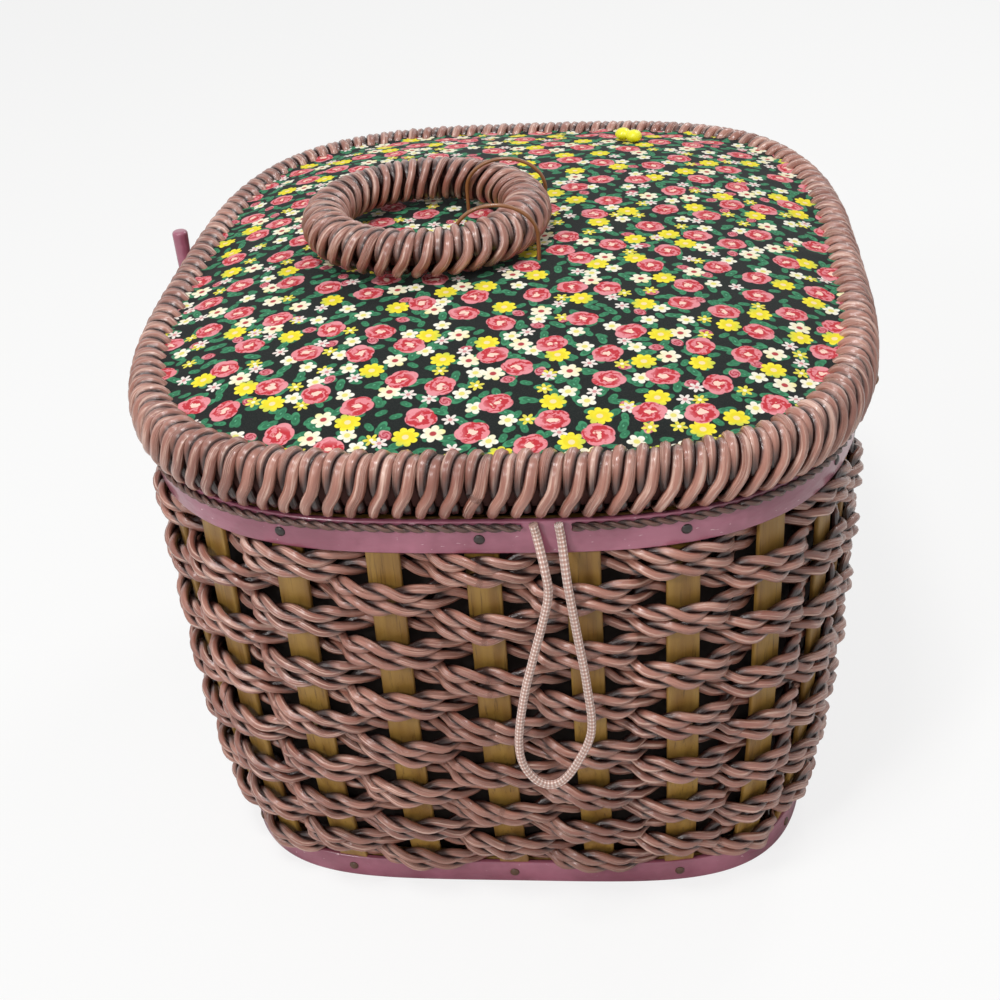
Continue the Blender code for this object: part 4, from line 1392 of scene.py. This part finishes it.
@dataclass
class Lining:
    """The cloth-covered card inside the basket; the card is near-black, painted shade behind the gaps of the weave.
    """

    finishes: Finishes
    outer: float = -0.0058
    thickness: float = 0.0014
    cloth_thickness: float = 0.0005
    low: float = 0.0063
    drop: float = 0.0010
    floor_thickness: float = 0.0018
    stake_clearance: float = 0.0009
    columns: int = 256
    levels: int = 14

    def outline(self, z: float, offset: float) -> Array:
        """Gives the wall's outline at a height and an offset."""
        return WALL.line(even_shares(self.columns), z, offset).points

    def make_wall(self, name: str, outer: float, inner: float, material: bpy.types.Material) -> None:
        """Makes one layer of the wall lining.

        Args:
            name: the layer's name.
            outer: the offset of its outer face from the stake line.
            inner: the offset of its inner face.
            material: the finish.
        """
        heights = np.linspace(self.low, SIZES.body_height - self.drop, self.levels)
        rows = [self.outline(float(z), outer) for z in heights]
        rows += [self.outline(float(z), inner) for z in heights[::-1]]
        mount(grid_mesh(name, rows, material, capped=False), Body.BASKET, Slot.LINING, "lining_wall")

    def make(self) -> None:
        """Makes the card, dark as painted shade behind the weave, its cloth and the floor."""
        inner = self.outer - self.thickness
        middle = inner + self.cloth_thickness
        # The card's near-black colour is painted shade seen through the gaps of the weave.
        self.make_wall("lining_card", self.outer, middle, self.finishes.card)
        self.make_wall("lining_wall_cloth", middle, inner, self.finishes.lining)
        levels = (self.low, self.low + self.floor_thickness)
        floor = grid_mesh("lining_floor_cloth", [self.outline(z, inner - self.stake_clearance) for z in levels],
                          self.finishes.lining)
        mount(floor, Body.BASKET, Slot.LINING, "lining_floor")


@dataclass
class LidRim:
    """The lid's hoop, wound side by side with two-strand rope."""

    trees: Trees
    finishes: Finishes
    rope: Rope = Rope(0.00168, 0.00090, 0.00150, ease=0.30, facing=0.7, wander=0.0006)
    turns: int = 136
    steps: int = 30
    sink_share: float = 0.3
    low_draw: float = 0.10
    low_taper: float = 0.14
    section_power: float = 2.6
    core_inset: float = 0.0030
    core_sides: int = 20
    core_columns: int = 240

    def section(self, angles: Array, inset: float) -> tuple[Array, Array, Array, Array]:
        """Reads the hoop's section.

        Args:
            angles: where to read, from the outer face upwards.
            inset: how far inside the hoop's outer surface to stay.

        Returns:
            The offsets from the lid's outline, the heights, and the outward direction across and up.
        """
        half_width, half_height = SIZES.rim_width / 2 - inset, SIZES.rim_height / 2 - inset
        cosines, sines = np.cos(angles), np.sin(angles)
        power = self.section_power
        reach = (np.abs(cosines) ** power + np.abs(sines) ** power) ** (-1 / power)
        across, up = reach * cosines, reach * sines
        slope_across = np.sign(across) * np.abs(across) ** (power - 1) / half_width
        slope_up = np.sign(up) * np.abs(up) ** (power - 1) / half_height
        size = np.hypot(slope_across, slope_up)
        offsets = half_width * across - SIZES.rim_width / 2
        heights = half_height * up + SIZES.rim_bottom + SIZES.rim_height / 2
        return offsets, heights, slope_across / size, slope_up / size

    def winding(self) -> Path:
        """Draws the rope's line round and round the hoop.

        Returns:
            The path, drawn together low on the outer face.
        """
        shares = even_shares(self.turns * self.steps)
        angles = FULL_TURN * self.turns * shares
        inset = self.rope.strand_radius + self.sink_share * self.rope.lay_out
        offsets, heights, across, up = self.section(angles, inset)
        points, normals = LID_PLAN.at(shares)
        flat = points + normals * offsets[:, None]
        outward = np.column_stack([normals * across[:, None], up])
        low = np.maximum(-np.sin(angles), 0.0)
        return Path(np.column_stack([flat, heights]), outward, True,
                    1 - self.low_draw * low, 1 - self.low_taper * low)

    def make(self) -> None:
        """Makes the rope and the hoop under it, dark as painted shade between the strands."""
        rope = self.rope.twist(self.trees.rope, "lid_rim_winding", [self.winding()], self.finishes.strand,
                               self.turns)
        mount(rope, Body.LID, Slot.STRAND, "lid_rim")
        offsets, heights, _, _ = self.section(FULL_TURN * even_shares(self.core_sides), self.core_inset)
        points, normals = LID_PLAN.at(even_shares(self.core_columns))
        rows = [np.column_stack([points + normals * offset, np.full(len(points), height)])
                for offset, height in zip(offsets, heights)]
        core = grid_mesh("lid_rim_hoop", rows, self.finishes.core, capped=False)
        mount(core, Body.LID, Slot.STRAND)


@dataclass
class LidPad:
    """The padded top under its printed cloth, drawn down where the handle's wires pass through."""

    finishes: Finishes
    edge_drop: float = 0.0022
    crown: float = 0.0078
    crown_power: float = 3.0
    dimple_depth: float = 0.0016
    dimple_radius_x: float = 0.020
    dimple_radius_y: float = 0.028
    rim_overlap: float = 0.0035
    pucker_start: float = 0.88
    pucker_depth: float = 0.00035
    pucker_power: float = 1.5
    puckers: int = 50
    pucker_share: float = 0.6
    second_pucker_share: float = 0.4
    second_pucker_pace: float = 0.62
    second_pucker_start: float = 1.0
    columns: int = 400
    rings: int = 72
    ring_power: float = 0.8
    skirt_depth: float = 0.006
    fill: float = 0.7

    def height(self, x: Array, y: Array) -> Array:
        """Gives the height of the cloth.

        Args:
            x: the places along X.
            y: the places along Y.

        Returns:
            The height at each place.
        """
        inset = SIZES.rim_width + SIZES.seat_gap
        half_x, half_y, power = SIZES.lid_width / 2 - inset, SIZES.lid_length / 2 - inset, SIZES.plan_power
        reach = (np.abs(x / half_x) ** power + np.abs(y / half_y) ** power) ** (1 / power)
        crown = self.crown * (1 - np.minimum(reach, 1.0) ** self.crown_power)
        away = np.minimum(np.hypot((x - SIZES.pivot_x) / self.dimple_radius_x, y / self.dimple_radius_y), 1.0)
        dent = self.dimple_depth * (1 + np.cos(math.pi * away)) / 2
        edge = np.clip((reach - self.pucker_start) / (1 - self.pucker_start), 0.0, 1.0)
        around = np.arctan2(y, x)
        second = np.sin(self.puckers * self.second_pucker_pace * around + self.second_pucker_start)
        folds = 1 + self.pucker_share * np.sin(self.puckers * around) + self.second_pucker_share * second
        pucker = self.pucker_depth * edge ** self.pucker_power * folds
        return SIZES.rim_top - self.edge_drop + crown - dent - pucker

    def make(self) -> None:
        """Makes the cloth-covered pad."""
        edge, normals = LID_PLAN.at(even_shares(self.columns))
        edge = edge - normals * (SIZES.rim_width + SIZES.seat_gap - self.rim_overlap)
        bottom = SIZES.rim_top - self.edge_drop - self.skirt_depth
        rows = [np.column_stack([edge, np.full(self.columns, bottom)])]
        for share in np.linspace(1.0, 0.0, self.rings, endpoint=False) ** self.ring_power:
            flat = edge * share
            rows.append(np.column_stack([flat, self.height(flat[:, 0], flat[:, 1])]))
        pad = grid_mesh("printed_pad", rows, self.finishes.print)
        mount(pad, Body.LID, Slot.PRINT, "lid_pad")


@dataclass
class RingHandle:
    """The ring handle wound with rope, and the two coated wires that hold it."""

    trees: Trees
    finishes: Finishes
    rope: Rope = Rope(0.00170, 0.00085, 0.00156, ease=0.30, facing=0.7, wander=0.0005)
    centre_x: float = -0.0255
    radius: float = 0.031
    tube_radius: float = 0.0075
    level: float = 0.17961
    turns: int = 38
    steps: int = 30
    sink_share: float = 0.6
    inner_draw: float = 0.20
    inner_taper: float = 0.12
    wire_spread: float = 0.020
    wire_left: float = 0.0130
    wire_right: float = 0.0121
    wire_top: float = 0.0098
    wire_radius: float = 0.0006
    wire_foot: float = 0.1512
    wire_sides: int = 12
    arch_steps: int = 28

    def winding(self) -> Path:
        """Draws the rope's line round and round the ring.

        Returns:
            The path, drawn together on the ring's inner side.
        """
        shares = even_shares(self.turns * self.steps)
        around, turn = FULL_TURN * shares, FULL_TURN * self.turns * shares
        heading = np.column_stack([np.cos(around), np.sin(around), np.zeros(len(shares))])
        outward = heading * np.cos(turn)[:, None] + np.outer(np.sin(turn), (0.0, 0.0, 1.0))
        path_radius = self.tube_radius - self.rope.strand_radius - self.sink_share * self.rope.lay_out
        points = np.array([self.centre_x, 0.0, self.level]) + heading * self.radius + outward * path_radius
        inner = 1 - np.cos(turn)
        return Path(points, outward, True, 1 - self.inner_draw * inner, 1 - self.inner_taper * inner)

    def make_wires(self) -> None:
        """Makes the two wires over the ring."""
        left, right = SIZES.pivot_x - self.wire_left, SIZES.pivot_x + self.wire_right
        middle, half = (left + right) / 2, (right - left) / 2
        angles = np.linspace(math.pi, 0, self.arch_steps)
        bow = [(middle + half * math.cos(a), self.level + self.wire_top * math.sin(a)) for a in angles]
        arch = [(left, self.wire_foot), *bow, (right, self.wire_foot)]
        for place, y in (("near", -self.wire_spread), ("far", self.wire_spread)):
            rows = tube_rows(np.array([(x, y, z) for x, z in arch]), self.wire_radius, self.wire_sides)
            piece = grid_mesh(f"handle_wire_{place}_coated", rows, self.finishes.wire)
            mount(piece, Body.WIRES, Slot.WIRE, f"handle_wire_{place}")

    def make(self) -> None:
        """Makes the winding and the wires."""
        rope = self.rope.twist(self.trees.rope, "handle_winding", [self.winding()], self.finishes.strand,
                               self.turns)
        mount(rope, Body.HANDLE, Slot.STRAND, "handle_wrap")
        self.make_wires()


@dataclass
class StayCord:
    """The braided cord whose loop hangs outside, from the seam under the rim and back."""

    finishes: Finishes
    diameter: float = 0.0023
    cord_gap: float = 0.0006
    rope_outer: float = 0.0055
    sides: int = 14
    step: float = 0.0009

    def route(self) -> list[tuple[float, float, float]]:
        """Lists the points that the cord follows.

        Returns:
            The points, down one side of the loop and up the other.
        """
        face = -SIZES.body_length / 2
        seam = face - self.diameter / 2 - SIZES.seat_gap
        hang = face + SIZES.band_outer - self.rope_outer - self.diameter / 2 - self.cord_gap
        top = SIZES.rim_bottom - SIZES.seat_gap
        return [
            (0.0139, seam, top), (0.0147, seam, 0.1440), (0.0165, hang, 0.1360), (0.0170, hang, 0.1287),
            (0.0150, hang, 0.1192), (0.0121, hang, 0.1079), (0.0093, hang, 0.0961), (0.0072, hang, 0.0823),
            (0.0075, hang, 0.0734), (0.0104, hang, 0.0673), (0.0144, hang, 0.0648), (0.0187, hang, 0.0667),
            (0.0230, hang, 0.0737), (0.0267, hang, 0.0843), (0.0259, hang, 0.0997), (0.0239, hang, 0.1161),
            (0.0220, hang, 0.1318), (0.0208, seam, 0.1430), (0.0202, seam, top)]

    def make(self) -> None:
        """Makes the cord as a tube with its own map along and around."""
        points = smooth_line(np.array(self.route()), self.step)
        walked = walked_lengths(points)
        piece = grid_mesh("stay_cord", tube_rows(points, self.diameter / 2, self.sides), self.finishes.braid)
        write_attribute(piece.data, "along", np.repeat(walked, self.sides))
        write_attribute(piece.data, "around", np.tile(even_shares(self.sides), len(points)))
        mount(piece, Body.BASKET, Slot.BRAID, "lid_stay")


@dataclass
class Fittings:
    """The wire hinges, the peg in its staple and the two-lobed pin head on the pad."""

    finishes: Finishes
    hinge_x: float = 0.10625
    hinge_z: float = 0.1431
    hinge_spread: float = 0.045
    eye_radius: float = 0.0019
    wire_radius: float = 0.0007
    link_half: float = 0.005
    link_bend: float = 0.0012
    link_lean: float = 0.0016
    link_rise: float = 0.0002
    staple_half: float = 0.0036
    staple_radius: float = 0.0008
    peg_x: float = -0.11305
    peg_y: float = 0.0255
    peg_top: float = 0.1659
    peg_length: float = 0.046
    peg_top_radius: float = 0.0026
    peg_foot_radius: float = 0.0017
    peg_round: float = 0.0011
    round_angles: tuple[float, float] = (0.3, 1.5)
    round_steps: int = 6
    pin_x: float = 0.03594
    pin_y: float = 0.09696
    pin_turn: float = math.radians(-35)
    lobe_radius: float = 0.0029
    lobe_spread: float = 0.0024
    lobe_height_share: float = 0.75
    lobe_end: float = 0.06
    sides: int = 20
    steps: int = 28
    wire_step: float = 0.0004

    def make_wire(self, name: str, route: Sequence[tuple[float, float, float]], radius: float, body: Body) -> None:
        """Makes one bent wire, which stands for the solid of its name.

        Args:
            name: the name of the solid that it stands for.
            route: the points that the wire passes.
            radius: the wire's radius.
            body: the body that it rides on.
        """
        points = smooth_line(np.array(route), self.wire_step)
        piece = grid_mesh(f"{name}_bent", tube_rows(points, radius, self.sides // 2), self.finishes.wire)
        mount(piece, body, Slot.WIRE, name)

    def bow(self, x: float, radius: float, first: float, last: float, foot: float) -> list[tuple[float, float]]:
        """Bends an arc about a place, with a leg from each of its ends.

        Args:
            x: the arc's centre.
            radius: its radius.
            first: the angle where it starts.
            last: the angle where it ends.
            foot: where both legs end.

        Returns:
            The points, each as a place along X and one across.
        """
        angles = np.linspace(first, last, self.steps // 3)
        arc = [(x + radius * math.cos(a), radius * math.sin(a)) for a in angles]
        return [(foot, arc[0][1]), *arc, (foot, arc[-1][1])]

    def make_hinges(self) -> None:
        """Makes two eyes on the band, and in each the link that hangs from the rim."""
        for place, y in (("near", -self.hinge_spread), ("far", self.hinge_spread)):
            face = WALL.face(self.hinge_z, y) + SIZES.seat_gap
            bow = self.bow(self.hinge_x, self.eye_radius, math.pi / 2, -math.pi / 2, face)
            eye = [(x, y, self.hinge_z + z) for x, z in bow]
            self.make_wire(f"hinge_eye_{place}", eye, self.wire_radius, Body.BASKET)
            half = [(self.hinge_x - self.link_lean, self.link_half, SIZES.rim_bottom + self.link_rise),
                    (self.hinge_x, self.link_half, self.hinge_z + self.link_bend),
                    (self.hinge_x, self.link_half - self.link_bend, self.hinge_z)]
            route = [(x, y - reach, z) for x, reach, z in half]
            route += [(x, y + reach, z) for x, reach, z in reversed(half)]
            self.make_wire(f"hinge_link_{place}", route, self.wire_radius, Body.LID)

    def make_peg(self) -> None:
        """Makes the tapered peg and its staple."""
        face = -WALL.face(self.hinge_z, self.peg_y) - SIZES.seat_gap
        bow = self.bow(self.peg_x, self.staple_half, -math.pi / 2, -3 * math.pi / 2, face)
        route = [(x, self.peg_y + y, self.hinge_z) for x, y in bow]
        self.make_wire("peg_staple", route, self.staple_radius, Body.BASKET)
        angles = FULL_TURN * even_shares(self.sides)
        circle = np.column_stack([np.cos(angles), np.sin(angles), np.zeros(self.sides)])
        straight = np.linspace(self.peg_length, self.peg_round, self.steps)
        rounded = self.peg_round * (1 - np.sin(np.linspace(*self.round_angles, self.round_steps)))
        rows = []
        for drop in (*straight, *rounded):
            share = drop / self.peg_length
            radius = self.peg_top_radius + (self.peg_foot_radius - self.peg_top_radius) * share
            if drop < self.peg_round:
                radius -= self.peg_round * (1 - math.sqrt(1 - (1 - drop / self.peg_round) ** 2))
            rows.append(circle * radius + (self.peg_x, self.peg_y, self.peg_top - drop))
        peg = grid_mesh("closure_peg_turned", rows, self.finishes.lacquer)
        mount(peg, Body.PEG, Slot.LACQUER, "closure_peg")

    def make_pin(self, pad: LidPad) -> None:
        """Makes the pin head, which lies on the pad.

        Args:
            pad: the pad under it.
        """
        ground = float(pad.height(np.array([self.pin_x]), np.array([self.pin_y]))[0])
        level = ground + self.lobe_radius * self.lobe_height_share + SIZES.seat_gap
        angles = FULL_TURN * even_shares(self.sides)
        cosine, sine = math.cos(self.pin_turn), math.sin(self.pin_turn)
        rows = []
        for turn in np.linspace(self.lobe_end, math.pi - self.lobe_end, self.steps):
            along = -(self.lobe_spread + self.lobe_radius) * math.cos(turn)
            radius = math.sqrt(self.lobe_radius ** 2 - (abs(along) - self.lobe_spread) ** 2)
            across = radius * np.cos(angles)
            rows.append(np.column_stack([
                self.pin_x + along * cosine - across * sine, self.pin_y + along * sine + across * cosine,
                level + radius * self.lobe_height_share * np.sin(angles)]))
        pin = grid_mesh("yellow_pin_head", rows, self.finishes.yellow)
        mount(pin, Body.LID, Slot.YELLOW, "yellow_pin")

    def make(self, pad: LidPad) -> None:
        """Makes every fitting.

        Args:
            pad: the pad that the pin head lies on.
        """
        self.make_hinges()
        self.make_peg()
        self.make_pin(pad)


@dataclass
class FrameDress:
    """The frame's own solids that stay as they are and only get their finish."""

    finishes: Finishes

    def make(self, nodes: dict[str, bpy.types.Object]) -> None:
        """Gives each shown solid its material.

        Args:
            nodes: the frame's solids by name.
        """
        # The handle's core takes the inner hoop finish, dark as painted shade between the strands of its winding.
        chosen = {
            "base_board": self.finishes.plywood, "lid_board": self.finishes.plywood,
            "lid_frame": self.finishes.plywood, "lid_lining": self.finishes.lining,
            "handle_core": self.finishes.core}
        for name, material in chosen.items():
            materials = nodes[name].data.materials
            materials.clear()
            materials.append(material)


@dataclass
class Studio:
    """The floor, the light and the camera, none of them part of the basket."""

    camera_place: tuple[float, float, float] = (0.042868, -0.4468448, 0.3542569)
    yaw: float = math.radians(-6.5946)
    pitch: float = math.radians(31.86)
    roll: float = math.radians(-3.9412)
    lens: float = 55.305
    sensor_width: float = 36.0
    clip_start: float = 0.01
    floor_size: float = 6.0
    floor_colour: str = "EDEDEB"
    floor_glow_share: float = 0.80
    world_strength: float = 0.36
    lamp_target: tuple[float, float, float] = (0.0, 0.0, 0.1)
    lamps: tuple[tuple[str, tuple[float, float, float], float, float], ...] = (
        ("key_lamp", (-0.15, -0.40, 1.15), 0.20, 6.5),
        ("back_lamp", (0.45, 0.75, 1.0), 0.30, 3.0),
        ("front_lamp", (-0.60, -0.95, 0.80), 0.18, 4.6))

    def make_camera(self) -> None:
        """Puts the camera at the photograph's viewing angle."""
        ahead = Vector((math.sin(self.yaw), math.cos(self.yaw), 0.0))
        right = Vector((math.cos(self.yaw), -math.sin(self.yaw), 0.0))
        up = Vector((0.0, 0.0, 1.0))
        view = ahead * math.cos(self.pitch) - up * math.sin(self.pitch)
        top = ahead * math.sin(self.pitch) + up * math.cos(self.pitch)
        turned_right = right * math.cos(self.roll) + top * math.sin(self.roll)
        turned_top = -right * math.sin(self.roll) + top * math.cos(self.roll)
        camera = link("camera", bpy.data.cameras.new("camera"))
        camera.data.lens = self.lens
        camera.data.sensor_width = self.sensor_width
        camera.data.clip_start = self.clip_start
        rotation = Matrix((turned_right, turned_top, -view)).transposed()
        camera.matrix_world = Matrix.Translation(self.camera_place) @ rotation.to_4x4()
        bpy.context.scene.camera = camera

    def make_floor(self) -> None:
        """Lays the pale floor, which keeps the basket's shadow."""
        half = self.floor_size / 2
        mesh = bpy.data.meshes.new("floor")
        corner_points = [(-half, -half, 0), (half, -half, 0), (half, half, 0), (-half, half, 0)]
        mesh.from_pydata(corner_points, [], [(0, 1, 2, 3)])
        material = bpy.data.materials.new("pale_floor")
        material.use_nodes = True
        tree = material.node_tree
        tree.nodes.clear()
        add = partial(add_node, tree)
        seen = add("ShaderNodeLightPath", out="Is Camera Ray")
        share = add(MATH, seen, self.floor_glow_share, operation="MULTIPLY")
        matt = add("ShaderNodeBsdfDiffuse", linear(self.floor_colour))
        glow = add("ShaderNodeEmission", WHITE, 1.0)
        add("ShaderNodeOutputMaterial", add("ShaderNodeMixShader", share, matt, glow), out=None)
        mesh.materials.append(material)
        link("floor", mesh)

    def make_light(self) -> None:
        """Lights the basket softly from above and in front, and shows white behind it."""
        world = bpy.data.worlds.new("studio")
        bpy.context.scene.world = world
        world.use_nodes = True
        tree = world.node_tree
        tree.nodes.clear()
        add = partial(add_node, tree)
        path = add("ShaderNodeLightPath", out=None)
        seen = path["Is Camera Ray"]
        for ray in ("Is Transmission Ray", "Is Glossy Ray"):
            seen = add(MATH, seen, path[ray], operation="MAXIMUM")
        dim = add("ShaderNodeBackground", WHITE, self.world_strength)
        white = add("ShaderNodeBackground", WHITE, 1.0)
        add("ShaderNodeOutputWorld", add("ShaderNodeMixShader", seen, dim, white), out=None)
        for name, place, size, power in self.lamps:
            data = bpy.data.lights.new(name, "AREA")
            data.size = size
            data.energy = power
            lamp = link(name, data)
            lamp.location = place
            ray = Vector(self.lamp_target) - Vector(place)
            lamp.rotation_euler = ray.to_track_quat("-Z", "Y").to_euler()

    def make(self) -> None:
        """Makes the whole studio."""
        bpy.context.scene.view_settings.view_transform = "Standard"
        self.make_camera()
        self.make_floor()
        self.make_light()


def main() -> None:
    """Builds every sub-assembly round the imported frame."""
    logging.basicConfig(level=logging.INFO, format="%(name)s: %(message)s")
    for old in list(bpy.data.objects):
        bpy.data.objects.remove(old, do_unlink=True)
    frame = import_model()
    Studio().make()
    finishes, trees = Finishes(), Trees()
    StayCord(finishes).make()
    FrameDress(finishes).make(frame["nodes"])
    WovenWall(trees, finishes).make()
    Bands(trees, finishes).make()
    Lining(finishes).make()
    LidRim(trees, finishes).make()
    pad = LidPad(finishes)
    pad.make()
    RingHandle(trees, finishes).make()
    Fittings(finishes).make(pad)


if __name__ == "__main__":
    main()
